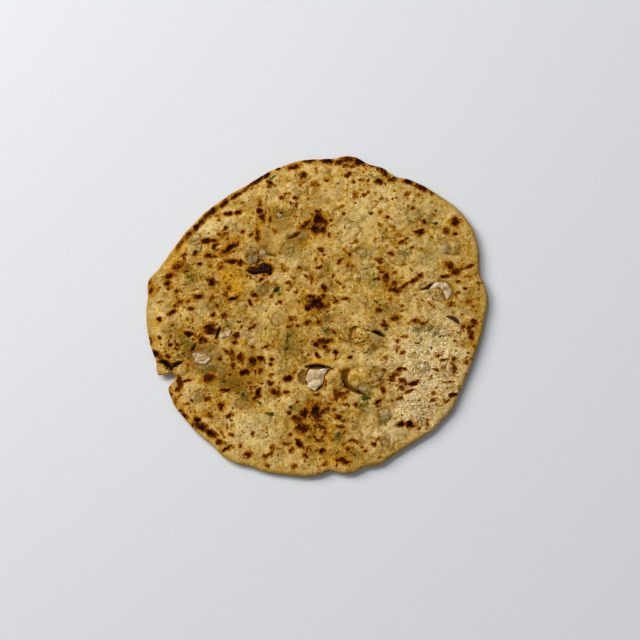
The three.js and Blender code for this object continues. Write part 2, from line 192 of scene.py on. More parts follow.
# Browned marks: x, y, half length, half width, turn in degrees
BLACKENED = [
    # rim, from the top round by the left
    (18.8, 85.8, 4.2, 1.6, 4), (25, 84.6, 2.8, 1.9, -35), (14, 84.8, 2.2, 1.5, 20),
    (7, 85.4, 2.7, 1.5, 0), (-3.6, 86.2, 3.4, 1.2, 0), (-11.6, 82.8, 3.0, 1.5, 8),
    (-32, 75.6, 4.2, 1.2, 30), (-26.4, 78.4, 1.6, 1.1, 30), (-43.8, 67, 3.6, 1.1, 34),
    (-50.2, 62.6, 2.6, 1.2, 45), (-58.2, 57.4, 4.2, 1.6, 46), (-65.4, 49.2, 2.3, 1.3, 52),
    (-69.6, 44.8, 3.0, 1.4, 60), (-20.4, 82, 1.1, 0.9, 0), (31.6, 82.2, 1.6, 0.9, -20),
    (37.6, 78.4, 4.4, 1.3, -48), (42.8, 73.4, 2.0, 1.5, 20), (51.4, 71.6, 2.4, 1.1, -20),
    (58.4, 68, 4.2, 1.1, -28), (35.8, 72.3, 1.7, 1.3, 20),
    # upper left
    (-6.2, 78, 2.1, 1.2, -30), (-24.8, 74, 1.6, 1.1, -35), (-48, 56.5, 2.8, 1.1, 0),
    (-42, 57, 1.5, 1.2, 20), (-30.4, 57.4, 1.4, 1.2, -40), (-28.8, 53.4, 1.8, 2.5, 10),
    (-60, 41, 2.7, 1.3, 4), (-55.3, 40.9, 1.6, 1.0, 10), (-54.8, 38, 1.3, 1.6, 0),
    (-47, 36.4, 4.6, 1.9, 38), (-58.4, 32.2, 1.9, 1.4, 15), (-66, 34.3, 1.3, 1.1, 0),
    (-45.6, 28.9, 3.4, 1.0, -2), (-40.6, 27.8, 1.5, 1.4, 0), (-63, 28, 1.1, 0.9, 0),
    (-80.2, 21.4, 2.2, 1.6, 10), (-56.3, 16.6, 1.4, 2.1, 24), (-63.4, 9.6, 2.6, 1.4, 5),
    (-75.2, 13, 1.4, 0.9, 38), (-44.6, 7.9, 2.8, 0.8, 0), (-67, 2.7, 1.5, 1.2, 10),
    (-77.4, 0.8, 2.6, 1.3, 25), (-55, -1.2, 1.1, 1.3, 0), (-28.8, 18, 1.6, 1.0, 58),
    (-32.5, 9, 1.9, 1.2, -20), (-34.8, 5.2, 2.0, 0.9, -50), (-39.5, 45.6, 0.9, 0.9, 0),
    (-6.4, 47.3, 2.6, 1.2, 15), (2.4, 51.9, 2.7, 2.9, 20), (0.2, 46.4, 2.6, 2.9, 0),
    (1.6, 56.3, 1.6, 1.1, -35), (-10.4, 42.6, 2.8, 0.7, 30), (5, 45.5, 1.6, 1.8, 0),
    (-18.6, 55, 0.9, 1.1, 0), (-80.8, 17.6, 1.6, 1.4, 0), (-35, 43.3, 1.3, 0.8, 10),
    # flap and dark middle
    (-33.6, 23.4, 3.2, 1.7, 0), (-26.6, 24, 3.4, 2.6, -20), (0.6, 4.6, 3.6, 2.2, 20),
    (3.6, 2.4, 2.8, 2.0, 0), (-1.6, 7.9, 2.4, 0.9, 0), (4.8, 7.6, 1.4, 1.0, 0), (-3.2, 1.6, 1.6, 1.4, 40),
    (5.5, 12.2, 1.3, 1.8, 0), (4.2, -16.9, 3.4, 1.6, 0), (8, -16.8, 1.8, 1.2, 20),
    (1, -18.2, 1.4, 1.2, 0), (5.6, -20, 1.6, 1.2, 0), (1.6, -24, 1.8, 0.8, -55),
    (-3.8, -6.3, 1.6, 1.3, 0), (-13.7, -8.6, 1.0, 0.8, 0), (-9, -8.2, 0.8, 0.8, 0),
    # right
    (76.7, 47.6, 2.5, 2.6, 0), (57, 42.7, 2.5, 1.3, 5), (72.4, 23.8, 2.7, 1.8, -32),
    (76, 20.4, 2.6, 1.8, 10), (83.4, 23, 2.4, 0.9, 22), (79.6, 21.8, 2.0, 0.7, 12),
    (70.2, 17.4, 2.3, 0.9, -4), (38.8, 17.2, 1.3, 3.2, 8), (43.2, 10.4, 3.2, 1.1, -6),
    (48.2, 12.6, 2.8, 1.2, 32), (53.4, 15.6, 2.2, 1.0, 32), (56.9, 17.9, 1.5, 1.3, 0),
    (34.7, -0.8, 1.7, 1.4, 0), (85.2, -7.8, 1.7, 1.5, 20), (82.6, -12.8, 3.8, 1.3, -74),
    (60, 48.4, 0.8, 1.1, 0), (43, -5, 2.4, 1.4, 15), (76.3, 41.2, 1.2, 1.1, 0),
    # left and lower left
    (-85, -3, 1.4, 1.1, 0), (-57.2, -7.8, 3.2, 2.0, 30), (-56, -9.8, 3.6, 1.3, 0),
    (-68.4, -11, 3.0, 1.0, -12), (-89.8, -14.8, 1.2, 2.2, 8), (-84.6, -13, 1.0, 0.9, 0),
    (-61.4, -14, 1.3, 1.0, 15), (-59, -15, 0.9, 0.8, 0), (-74.4, -17, 1.1, 1.0, 0),
    (-78.2, -17.3, 1.0, 0.8, -30), (-87, -21.4, 2.2, 1.3, -10), (-81.8, -26.2, 2.2, 1.0, -10),
    (-78.8, -28.4, 2.4, 1.5, -48), (-74.4, -27.6, 2.6, 0.8, 28), (-42.4, -13, 1.7, 1.4, 30),
    (-43, -16.8, 1.3, 1.0, 0), (-39.6, -24.4, 1.5, 2.4, 12), (-33, -26.8, 2.0, 2.4, -12),
    (-28.8, -26, 1.6, 1.3, 0), (-22.5, -25.9, 1.1, 0.9, 0), (-43.6, -29.2, 1.3, 1.2, 0),
    (-56.8, -36, 3.4, 1.8, 12), (-72.4, -37.8, 1.3, 3.2, 6), (-69.2, -36.9, 2.2, 0.7, 6),
    (-73.2, -41.4, 1.7, 1.0, 40), (-47.4, -42.3, 2.9, 1.0, 4), (-49.6, -51.2, 2.0, 2.3, -12),
    (-37.4, -33, 2.3, 1.4, 12), (-28.6, -32.2, 1.7, 1.3, 30), (-30, -44, 1.2, 2.3, -15),
    (-20.5, -44, 2.9, 1.6, -12), (-14.2, -36.8, 2.4, 1.5, 25), (-23.4, -39, 1.6, 1.1, 0),
    (-77.5, -44, 0.9, 1.6, 12), (-71.4, -53, 1.2, 0.8, 0), (-69.4, -55.6, 2.2, 1.0, -48),
    (-62.5, -57.7, 1.7, 1.3, -25), (-61, -61.4, 3.4, 1.6, -18), (-55, -65.2, 3.4, 1.4, -34),
    (-50.3, -70.2, 1.5, 1.3, 0), (-23, -28.6, 0.9, 0.8, 0), (-51, -25.6, 0.9, 0.7, 0),
    # bottom
    (1, -54.4, 2.3, 4.0, 6), (-5.2, -55.6, 1.7, 2.8, -14), (-9.4, -58.6, 2.4, 1.7, -20),
    (-6.4, -63.2, 3.2, 2.3, 12), (-7.8, -71.3, 1.1, 2.6, 32), (-13.4, -55, 0.9, 0.8, 0),
    (11.4, -46.2, 1.2, 3.4, 6), (15, -80.6, 3.4, 1.1, -12), (50, -61.8, 2.2, 1.3, -4),
    (45.6, -61.5, 1.9, 1.2, 20), (42.4, -36, 2.6, 1.3, 22), (46.4, -38.8, 1.6, 1.3, 0),
    (45.2, -32.6, 2.0, 0.9, 18), (47.8, -32.4, 0.9, 0.8, 0), (52, -40.2, 2.7, 1.2, 22),
    (46, -42.6, 1.3, 1.3, 0), (49, -45, 1.6, 0.8, 10), (41, -38.4, 1.4, 1.0, 0),
    (36.4, -43.4, 2.1, 0.9, -62), (33.8, -49.3, 2.0, 0.9, 32), (73.7, -33, 1.0, 2.8, -4),
    (4.2, -75.2, 1.5, 1.2, 0), (18, -74.2, 1.1, 0.9, 30), (5.7, -53.6, 1.9, 1.2, 20),
    (72.6, -47, 1.9, 1.0, 25), (11.6, -23.3, 1.0, 1.3, 0), (19, -25.8, 1.0, 0.8, 0),
    (22, -51.2, 0.9, 1.1, 0), (1.3, -45.5, 1.9, 0.8, -8), (-26, -77.7, 1.3, 0.8, 10),
    (-46.6, -73.4, 2.5, 0.7, 28),
]

BROWNED = [
    (-14.3, 67, 1.1, 0.9, 0), (-10.1, 64.1, 1.3, 1.0, 0), (-12.4, 61, 0.8, 0.7, 0),
    (-18.2, 64.6, 1.2, 1.0, 0), (-4, 63.4, 1.1, 0.8, 0), (0.4, 71.6, 2.2, 1.5, -30),
    (-22.4, 72, 1.2, 0.8, 0), (-38, 71.4, 3.8, 1.0, 38), (-54, 55.3, 1.2, 0.9, 0), (-53, 53, 0.8, 0.7, 0),
    (-62, 53.2, 6.5, 1.0, 48), (-74.4, 40, 1.3, 4.0, -32), (-30.6, 61.6, 1.0, 3.4, -8),
    (-24.4, 52.4, 1.0, 1.8, 0), (-52.5, 45, 1.2, 1.0, 0), (-49.4, 44.8, 1.1, 1.1, 0),
    (-31.4, 43.6, 1.5, 3.4, 0), (-48.3, 41.5, 1.0, 0.9, 0), (-72, 33.5, 1.5, 0.8, 20),
    (-55, 31.4, 1.7, 0.9, 12), (-53.2, 35.6, 1.1, 0.9, 0), (-75.6, 27, 3.4, 2.2, 20),
    (-57, 26.6, 1.0, 0.9, 0), (-51.4, 25, 1.3, 1.6, 0), (-70.4, 24, 1.7, 1.1, 20),
    (-90, 13.8, 1.8, 2.4, 0), (-91.2, 18.6, 1.2, 1.6, 0), (-78, 15, 1.1, 0.9, 0),
    (-80.7, 14.2, 0.8, 0.8, 0), (-46.7, 14, 1.1, 1.3, 0), (-48.8, 9.6, 1.6, 0.8, -32),
    (-41.2, 9.4, 1.8, 0.8, 36), (-55.4, 8.6, 1.3, 0.9, 0), (-53.2, 3.6, 1.1, 0.8, 0),
    (-69, 7.2, 1.2, 0.9, 10), (-73.4, 6.8, 1.6, 0.9, 15), (-75.6, 4.6, 1.3, 1.0, 0),
    (-49.2, -1.8, 1.6, 1.2, 0), (-14.2, 16.1, 1.5, 0.9, 0), (-8, 24, 1.2, 1.0, 0),
    (-17.2, 25.8, 1.1, 0.9, 0), (-16.6, 22.8, 1.4, 0.8, 15), (-14.4, 24, 0.7, 0.6, 0),
    (2.7, 24, 1.4, 1.1, 0), (-1.6, 17.6, 1.0, 2.6, 0), (-10, 10.6, 1.4, 0.7, -15),
    (-23.4, 8.7, 1.1, 1.1, 0), (-18.6, 5.5, 1.2, 1.0, 0), (0.8, 28.3, 0.8, 1.2, 0),
    (3.6, 34.2, 1.4, 1.1, 0), (5.2, 31.4, 0.7, 0.7, 0), (8.2, 42.4, 0.9, 1.2, 0),
    (6.2, 49.2, 1.2, 2.6, 0), (-3.6, 49.6, 3.2, 1.4, 30), (9.2, 51, 0.9, 0.8, 0),
    (9.2, 47.8, 0.5, 0.5, 0), (17.5, 82.3, 2.2, 0.9, 15), (21.3, 81.8, 1.3, 0.9, 0),
    (18.5, 76.8, 1.8, 1.3, 20), (26, 73.3, 1.8, 0.8, -10), (29.8, 72.7, 0.7, 1.0, 0),
    (21.7, 72.6, 1.0, 0.7, -20), (6.8, 74.3, 1.3, 0.9, -20), (56.6, 64, 1.4, 0.9, 0),
    (64.4, 64.8, 1.6, 0.9, -30), (44, 66.4, 0.9, 0.6, 0), (22.5, 65, 1.4, 2.0, 0),
    (27.5, 64.6, 1.2, 0.9, 0), (37.3, 62.6, 0.9, 0.7, 0), (36, 54.6, 0.9, 0.8, 0),
    (16, 54.1, 1.0, 0.8, 0), (39.6, 51.8, 1.0, 0.9, 0), (41.5, 46.2, 0.6, 0.7, 0),
    (43.3, 45.5, 0.9, 0.8, 0), (71.5, 42.8, 1.5, 1.4, 0), (47.4, 36.8, 1.9, 1.1, 15),
    (46.6, 41, 2.6, 0.9, -5), (53, 34.2, 0.8, 0.8, 0), (17, 33, 2.2, 1.0, -42), (19.4, 31, 0.8, 1.4, 0),
    (41.4, 31, 1.7, 1.3, 0), (13.8, 26.9, 2.0, 1.1, 40), (18.6, 25.2, 1.3, 2.0, -20),
    (20.8, 24, 1.2, 0.9, 0), (36, 26, 1.1, 0.8, 0), (35, 23, 1.1, 0.8, 0), (42.8, 13.8, 2.0, 1.5, 20),
    (77.4, 14.5, 1.5, 0.9, -10), (82.8, 17.4, 2.2, 0.7, 10), (88, 13.2, 0.9, 1.0, 0),
    (81.2, 10.8, 1.4, 0.7, 5), (82, 3.4, 1.5, 1.7, -30), (84.4, 1, 1.2, 0.7, -15),
    (75.8, 7.4, 0.7, 1.2, 0), (73.2, 2, 1.6, 1.3, 15), (34.7, 16.8, 1.0, 0.8, 0),
    (37.2, 20.6, 1.6, 0.8, 0), (41, 5.8, 0.9, 1.0, 0), (35.5, 2.3, 0.7, 0.6, 0), (16.5, 6.2, 1.8, 0.9, 0),
    (16, 12.8, 0.8, 0.7, 0), (10.2, 19, 0.9, 1.4, 0), (46.4, -4.2, 1.1, 0.6, 10), (54.3, -7, 1.8, 1.3, 0),
    (57.6, -8.2, 1.0, 0.9, 0), (50.4, -8.6, 0.9, 0.7, 0), (38.5, -8.8, 1.4, 0.8, 15),
    (79, -10, 1.1, 1.0, 0), (83.2, -16.4, 1.1, 1.3, 0), (84.4, -21, 0.9, 1.0, 0),
    (61.8, 3, 1.3, 0.5, -48), (47.3, 1.5, 0.8, 0.6, 0), (-69.3, -3.2, 0.9, 1.2, 0),
    (-77.2, -6.3, 1.1, 0.8, 0), (-78.4, -12.6, 0.8, 1.2, 0), (-79.6, -23.4, 1.6, 1.0, 0),
    (-83.4, -24, 1.6, 1.2, 0), (-68, -28.4, 1.0, 1.4, 0), (-60.8, -15.4, 2.6, 1.8, 0),
    (-44.2, -23.6, 1.0, 3.2, 8), (-47, -21.4, 2.2, 0.8, -35), (-45.4, -33.6, 1.7, 0.8, 40),
    (-31.4, -32.8, 0.9, 0.8, 0), (-26, -19.2, 2.2, 0.6, 15), (-33, -19.3, 1.0, 0.8, 0),
    (-33.4, -8.4, 2.2, 0.9, 40), (-12.6, -4.6, 2.0, 1.3, 30), (2.2, -6.4, 2.0, 1.4, 30),
    (-78.4, -40, 1.0, 1.7, 0), (-74.6, -47.8, 1.2, 2.0, 10), (-72.4, -45, 1.0, 0.8, 0),
    (-68.2, -49.5, 1.9, 0.9, 12), (-57.6, -47, 1.9, 1.1, 0), (-64, -54, 0.8, 0.9, 0),
    (-56.4, -55.4, 2.6, 1.4, -35), (-45, -56, 1.9, 0.9, 38), (-43.8, -66.3, 1.6, 1.1, -35),
    (-32.4, -66, 1.0, 0.9, 0), (-49, -64.4, 0.6, 2.2, 24), (-39.2, -72, 0.9, 0.8, 0),
    (-35, -76.8, 2.0, 1.3, 30), (-31.8, -47.4, 1.4, 1.6, 0), (-34, -41, 1.0, 0.9, 0),
    (-14.8, -44.2, 1.6, 0.8, 0), (-11.2, -33.6, 2.0, 0.9, 48), (-22.8, -34.6, 1.4, 0.8, 30),
    (-8.8, -49.4, 1.2, 0.7, 30), (-3.4, -49.6, 0.9, 1.9, 0), (-22, -73.4, 1.3, 2.2, -14),
    (-23.4, -76.4, 1.5, 0.9, 20), (-15, -71.4, 2.4, 0.7, -10), (-12, -74.4, 2.2, 1.2, 50),
    (-10.8, -83, 1.5, 1.2, 0), (-4.6, -77.6, 1.6, 1.0, -40), (5.4, -82.4, 1.7, 0.9, 15),
    (14, -15.6, 0.9, 0.8, 0), (10, -11.4, 1.2, 1.0, 0), (44.4, -17.2, 1.0, 1.1, 0),
    (47.8, -15.3, 1.6, 0.9, 0), (44.4, -21, 1.1, 0.7, 0), (46.8, -23.6, 1.3, 1.0, 0),
    (38, -26, 1.3, 1.0, 0), (14.4, -33.2, 1.3, 1.0, 0), (5.8, -38.8, 0.8, 1.4, 0),
    (34.4, -38.2, 0.8, 0.7, 0), (16.8, -44.6, 1.5, 1.1, 0), (13.8, -46, 3.4, 1.6, 0),
    (16.6, -51, 1.9, 0.8, -8), (10.7, -53.6, 1.1, 0.9, 0), (12.6, -57.6, 1.9, 1.2, -15),
    (8.4, -50.7, 1.8, 0.8, 0), (6.4, -66, 1.9, 1.2, -25), (13.4, -62.4, 2.4, 0.8, -12),
    (3.6, -62.4, 3.2, 0.9, -12), (16.4, -65, 1.0, 0.8, 0), (22.6, -70.9, 1.5, 0.9, -30),
    (15.9, -72, 1.3, 1.0, -30), (31.3, -71.8, 1.6, 1.0, -25), (33.6, -68.9, 1.4, 0.7, 40),
    (25.4, -73.6, 0.8, 0.8, 0), (26.6, -76, 0.9, 0.7, 20), (45.4, -47.8, 1.2, 0.9, 0),
    (40.8, -49.4, 1.0, 0.9, 0), (64.4, -33.4, 1.5, 0.7, -25), (65.6, -25.4, 1.5, 0.8, 5),
    (67.8, -28, 1.0, 0.8, 0), (74, -27.6, 1.4, 1.2, 20), (71.6, -39.8, 1.6, 0.6, 5),
    (69.8, -50, 1.6, 0.8, 40), (62.4, -45.6, 1.1, 0.9, 0), (62.8, -49.2, 1.6, 0.9, 25),
    (75, -18, 0.9, 0.7, 30), (81.4, -24.4, 0.8, 0.7, 0), (80, -29, 1.0, 1.2, 0),
    (54.6, -64, 1.1, 0.8, 20), (59.4, -59.6, 1.0, 0.8, 0), (37.4, -8.8, 1.6, 1.1, 0),
    (-2, -68, 1.4, 1.0, 0), (3.4, -69.6, 2.0, 1.0, 30), (9.4, -69.4, 1.2, 0.8, 0),
    (6.4, -60.4, 1.2, 1.0, 0), (-12.6, -66.6, 1.4, 0.9, 40), (-2.6, -73.4, 1.2, 0.9, 0),
]

# Warm golden patches: x, y, half length, half width, turn, strength
GOLDEN = [
    (66.5, 8, 3.4, 2.8, 0, 1.0), (72.8, 3.4, 3.0, 2.0, 20, 0.9), (73, 11, 1.4, 4.0, 10, 0.7),
    (-45.6, 22, 6.5, 8.5, -10, 0.75), (-44, 13, 6.0, 5.0, 20, 0.6), (-57.5, 8, 3.0, 2.5, 0, 0.8),
    (-76, 36.4, 5.0, 3.4, 50, 0.8), (2, -28, 9.0, 1.6, -3, 1.0), (-38, -17.4, 2.2, 2.0, 0, 1.0),
    (-31, 42, 2.2, 6.0, 0, 0.5), (-7, 39, 4.0, 3.0, 0, 0.7), (-56.6, -35.4, 6.0, 4.0, 0, 0.8),
    (-50, -50, 5.0, 5.0, 0, 0.6), (-74, -35, 3.0, 3.0, 0, 0.8), (-86, -5, 5.0, 4.0, 0, 0.7),
    (13, -46, 5.0, 4.0, 0, 0.6), (9, -16, 7.0, 4.0, 0, 0.5), (0, -68, 14.0, 8.0, 0, 0.5),
    (-60, -50, 8.0, 5.0, 0, 0.35), (76, 44, 7.0, 9.0, 20, 0.45), (12, -80, 12.0, 4.0, 0, 0.6),
    (8, -38, 3.0, 4.0, 0, 0.5), (-30, 58, 4.0, 8.0, 0, 0.4), (-18, -8, 8.0, 7.0, 0, 0.4),
    (28, 44, 12.0, 8.0, 0, 0.25), (-24, 23, 4.0, 4.0, 0, 0.4), (-85, 45, 6.0, 8.0, 0, 0.4),
    (-80, 28, 5.0, 8.0, 20, 0.45), (42, 60, 6.0, 4.0, 0, 0.3), (10, 20, 6.0, 14.0, 20, 0.35),
    (-22, -74, 5.0, 4.0, 0, 0.5), (-34, -77, 4.0, 3.0, 0, 0.5), (2, 47, 8.0, 7.0, 0, 0.6),
    (45, 12, 9.0, 4.0, 20, 0.4), (-4, 4, 9.0, 9.0, 0, 0.5), (-60, -14, 5.0, 4.0, 0, 0.5),
    (20, -72, 10.0, 6.0, 0, 0.35), (-68, -58, 5.0, 6.0, 40, 0.5),
]

# Patches where the green filling shows through the skin: the same
GREENED = [
    (-19, 54, 5.0, 4.0, 0, 0.9), (-70, 26, 6.0, 4.0, 0, 0.8), (-66, 19, 5.0, 4.0, 0, 0.7),
    (58, 49, 9.0, 8.0, 0, 0.55), (-36, -62, 12.0, 7.0, 0, 0.5), (-36, -45, 6.0, 5.0, 0, 0.8),
    (29, -35, 7.0, 4.0, 0, 0.45), (36, -57, 4.0, 4.0, 0, 0.9), (13, -67, 5.0, 3.5, 0, 0.9),
    (38, 1, 7.0, 4.0, 0, 0.7), (-29, 13, 6.0, 4.0, 0, 0.8), (8, 24, 4.0, 6.0, 0, 0.7),
    (30, 20, 9.0, 5.0, 0, 0.6), (-62, -46, 6.0, 4.0, 0, 0.7), (-46, 66, 6.0, 4.0, 30, 0.7),
    (-22, 76, 8.0, 4.0, 20, 0.6), (-38, 50, 6.0, 4.0, 0, 0.5), (-34, 30, 7.0, 7.0, 0, 0.7),
    (-72, -14, 6.0, 4.0, 0, 0.6), (-63, -20, 8.0, 6.0, -10, 0.9), (-55, -31, 8.0, 4.0, 0, 0.8),
    (-44, -38, 7.0, 4.0, 0, 0.8), (-12, -12, 6.0, 6.0, 0, 0.6), (-14, -22, 8.0, 6.0, 0, 0.6),
    (8, -11, 7.0, 4.0, 0, 0.7), (56, -11, 8.0, 5.0, 0, 0.6), (58, -32, 5.0, 4.0, 0, 0.6),
    (46, 33, 8.0, 6.0, 0, 0.6), (60, 28, 8.0, 8.0, 0, 0.5), (-10, -52, 6.0, 5.0, 0, 0.7),
    (26, -52, 4.0, 6.0, 0, 0.7), (66, 8, 6.0, 5.0, 0, 0.6), (-10, 68, 7.0, 5.0, 0, 0.4),
    (34, 76, 8.0, 4.0, -30, 0.6), (-55, 2, 6.0, 5.0, 0, 0.4), (20, -76, 6.0, 3.0, -30, 0.7),
    (-82, 10, 5.0, 5.0, 0, 0.4), (-12, 34, 9.0, 5.0, 20, 0.6), (66, -14, 8.0, 4.0, 0, 0.5),
    (20, 50, 12.0, 3.0, 8, 0.5), (-68, 10, 6.0, 4.0, 0, 0.5), (-2, 60, 9.0, 4.0, 0, 0.3),
    (70, -2, 6.0, 3.0, 0, 0.4), (-80, -8, 5.0, 4.0, 0, 0.4),
]

# Paler stretches, then deeper and browner ones, these partly the dough's own tone and partly painted shade
# over broad hollows: the same
PALE = [
    (34, 62, 20.0, 12.0, -20, 0.6), (20, 44, 12.0, 7.0, 20, 0.8), (-60, 48, 14.0, 5.0, 45, 0.6),
    (-16, 68, 14.0, 7.0, 0, 0.5), (62, 22, 10.0, 14.0, 0, 0.6), (-36, -63, 15.0, 9.0, 0, 1.1),
    (26, -26, 9.0, 4.0, 10, 0.8), (62, -40, 16.0, 22.0, 0, 0.7), (-66, -46, 8.0, 5.0, 0, 0.7),
    (-14, 30, 8.0, 6.0, 0, 0.7), (36, -64, 14.0, 8.0, 0, 0.7), (-26, 44, 6.0, 6.0, 0, 0.6),
    (-84, -2, 5.0, 14.0, 0, 0.5), (-20, -76, 16.0, 6.0, 0, 0.5), (-30, -12, 8.0, 8.0, 0, 0.4),
    (24, -14, 5.0, 4.0, 0, 0.25), (-34, 35.5, 3.2, 2.2, 0, 1.2), (-52, 48, 6.0, 4.0, 0, 0.5),
    (-82, -31, 3.0, 2.5, 0, 0.7), (46, -8, 14.0, 10.0, 0, 0.3), (-22, 17, 6.0, 5.0, 0, 0.6),
]

DEEP_AND_SHADED = [
    (27, -36.5, 8.0, 5.0, 0, 0.5), (33, -16.5, 4.5, 5.0, 0, 0.9), (24, -13.5, 5.0, 5.0, 0, 0.7),
    (-48, 34, 14.0, 9.0, 30, 0.4), (-60, -10, 18.0, 9.0, 0, 0.3), (-48, -30, 16.0, 10.0, 0, 0.5),
    (0, 49, 9.0, 10.0, 0, 0.7), (2, -63, 14.0, 14.0, 0, 0.6), (-30, 24, 10.0, 6.0, 0, 0.8),
    (0, 2, 10.0, 12.0, 0, 0.7), (-20, 56, 9.0, 5.0, 0, 0.6), (-64, 10, 14.0, 12.0, 0, 0.2),
    (-72, -20, 12.0, 8.0, 0, 0.6), (-36, -36, 10.0, 8.0, 0, 0.7), (-12, -22, 10.0, 8.0, 0, 0.4),
    (78, 22, 10.0, 8.0, 0, 0.4), (-30, 48, 5.0, 8.0, 0, 0.5), (44, 14, 10.0, 6.0, 0, 0.3),
    (-44, 3, 8.0, 6.0, 0, 0.4), (12, -14, 10.0, 6.0, 0, 0.4), (28, 6, 8.0, 8.0, 0, 0.3),
    (86, 0, 5.0, 30.0, 0, 0.4), (72, -50, 20.0, 5.0, 55, 0.4),
]

# Thin olive skin, stretched over the filling or beside a tear: the same
SHEER = [
    (-68, -20.5, 9.0, 2.4, 22, 0.9), (-58, -20.4, 5.0, 2.2, 0, 0.9), (-52, -24, 3.4, 3.4, 0, 0.6),
    (-61, -31, 6.0, 1.6, 0, 0.6), (-45, -14.5, 3.0, 2.0, 0, 0.7), (-48, -7.6, 5.0, 2.0, 0, 0.7),
    (-37.4, -36, 5.0, 5.0, 0, 0.6), (-50.6, -31, 2.6, 5.0, 0, 0.8), (-46, -36, 9.0, 3.0, -15, 0.8),
    (32, -34.5, 3.4, 3.0, 0, 0.8), (70, 15, 5.0, 1.4, -15, 0.8), (73.8, 8, 1.4, 5.0, 0, 0.8),
    (-34, 29, 4.0, 4.0, 0, 0.4), (-28, 40, 6.0, 4.0, 20, 0.6), (-17, 50, 8.0, 6.0, 0, 0.8),
    (-12, 40, 9.0, 2.6, 20, 0.8), (15, 29, 8.0, 1.8, 30, 0.6), (28, 34, 8.0, 2.2, 0, 0.6),
    (18.4, 27, 4.0, 4.0, 0, 0.4), (-58, 6, 8.0, 2.6, -10, 0.6), (-40, 9, 7.0, 2.2, 20, 0.6),
    (-30, -8, 7.0, 2.2, 0, 0.5), (-12, -14, 6.0, 4.0, 0, 0.5), (18, -77, 8.0, 3.6, -10, 0.7),
    (46, 0, 8.0, 2.6, 0, 0.5), (32, -3, 7.0, 3.0, 0, 0.6), (58, 46, 8.0, 5.0, 0, 0.15),
    (63, 30, 8.0, 6.0, 0, 0.35), (-30, -20, 8.0, 2.0, 30, 0.5), (-8, -52, 5.0, 4.0, 0, 0.4),
    (26, -50, 5.0, 3.6, 0, 0.6), (-64, 20, 7.0, 4.0, 20, 0.5), (20, 50, 12.0, 1.8, 10, 0.5),
    (-8, 24, 3.0, 7.0, 10, 0.4), (36, 45, 6.0, 3.0, 0, 0.4), (33, -16.5, 4.0, 4.0, 0, 0.5),
    (-74, -8, 7.0, 2.4, -20, 0.5),
]

# Where the top glistens with oil: the same
OILED = [
    (57, -22, 12.0, 9.0, 0, 0.8), (60, -40, 15.0, 13.0, 0, 1.0), (53, -56, 14.0, 8.0, -20, 1.0),
    (71, -30, 7.0, 14.0, 0, 0.8), (68, -10, 9.0, 6.0, 0, 0.6), (36, -68, 12.0, 5.0, 25, 0.5),
    (62, 4, 10.0, 8.0, 0, 0.4), (0, -36, 16.0, 8.0, 0, 0.12), (-58, -24, 12.0, 7.0, 0, 0.2),
    (44, -30, 8.0, 10.0, 0, 0.5),
]

# The fields read by the dough's look that are soft patches, and what each is on the underside
PATCHES = {"golden": GOLDEN, "green": GREENED, "oil": OILED, "sheer": SHEER, "pale": PALE, "deep": DEEP_AND_SHADED}
UNDER_PATCHES = {"golden": 0.35, "green": 0.35, "oil": 0.15, "pale": 0.3, "deep": 0.3}
FIELD_NAMES = ["char", "halo", "hollow", "clear", "torn", "lip", "ring", "crack", "rim", *PATCHES]

# The larger onion pieces' plans, one or more for each CAD node: how dark, how uneven, how far raised
ONION_PLANS = {
    "onion_front": [(0.0, 0.45, 0.5, [
        (-3.4, -34), (-2.2, -31.6), (1, -33), (4, -32), (9.4, -31.6), (6.4, -33.8), (5, -36), (5.2, -38.4),
        (4.6, -40.4), (2.6, -41.6), (0.2, -44), (-1.6, -42.4), (-3.6, -41.6), (-3.8, -38.6), (-4.6, -36.8)])],
    "onion_left": [(0.14, 0.35, 0.0, [
        (-66.4, -23), (-64.4, -21.4), (-62.2, -22.4), (-60.2, -22.8), (-57.4, -23.8), (-55.8, -25.6),
        (-57.4, -27), (-58.6, -28.8), (-61.4, -27.9), (-64.4, -27.4), (-64, -25)])],
    "onion_chip": [(0.0, 0.5, 0.3, [
        (-51.6, -12.8), (-50, -11.4), (-48.4, -11.4), (-46.6, -9.6), (-44, -9.4), (-45.2, -11.8),
        (-46.2, -13.6), (-48.8, -13.6), (-50.6, -14.6)])],
    "onion_back": [(0.62, 0.7, -0.7, [
        (-37.2, 28.4), (-37.4, 30.8), (-35.4, 32.4), (-32.6, 31.2), (-30.6, 31.6), (-31, 28.8),
        (-34.2, 26.6)]), (0.40, 0.5, -0.8, [
            (-30.2, 31.8), (-30.6, 33.8), (-28.4, 34.6), (-26.8, 33), (-27.2, 31.2), (-28.8, 31)])],
    "onion_far": [(0.50, 0.35, -0.6, [
        (72.9, 32.2), (72.4, 35.2), (74, 37.8), (76.8, 37.6), (78.4, 34.4), (77.2, 31.2),
        (74.8, 30.4)]), (0.35, 0.3, -0.5, [
            (69.2, 34.8), (70.6, 35.4), (72.4, 33.2), (73.4, 31), (72, 30), (70, 31.2), (68.8, 33)])],
}
# The line of the curved piece of onion ring
ONION_RING = [(62.4, 10.6), (65, 12.6), (68.4, 13), (70.8, 11.2), (71.6, 8), (71.4, 4.4)]

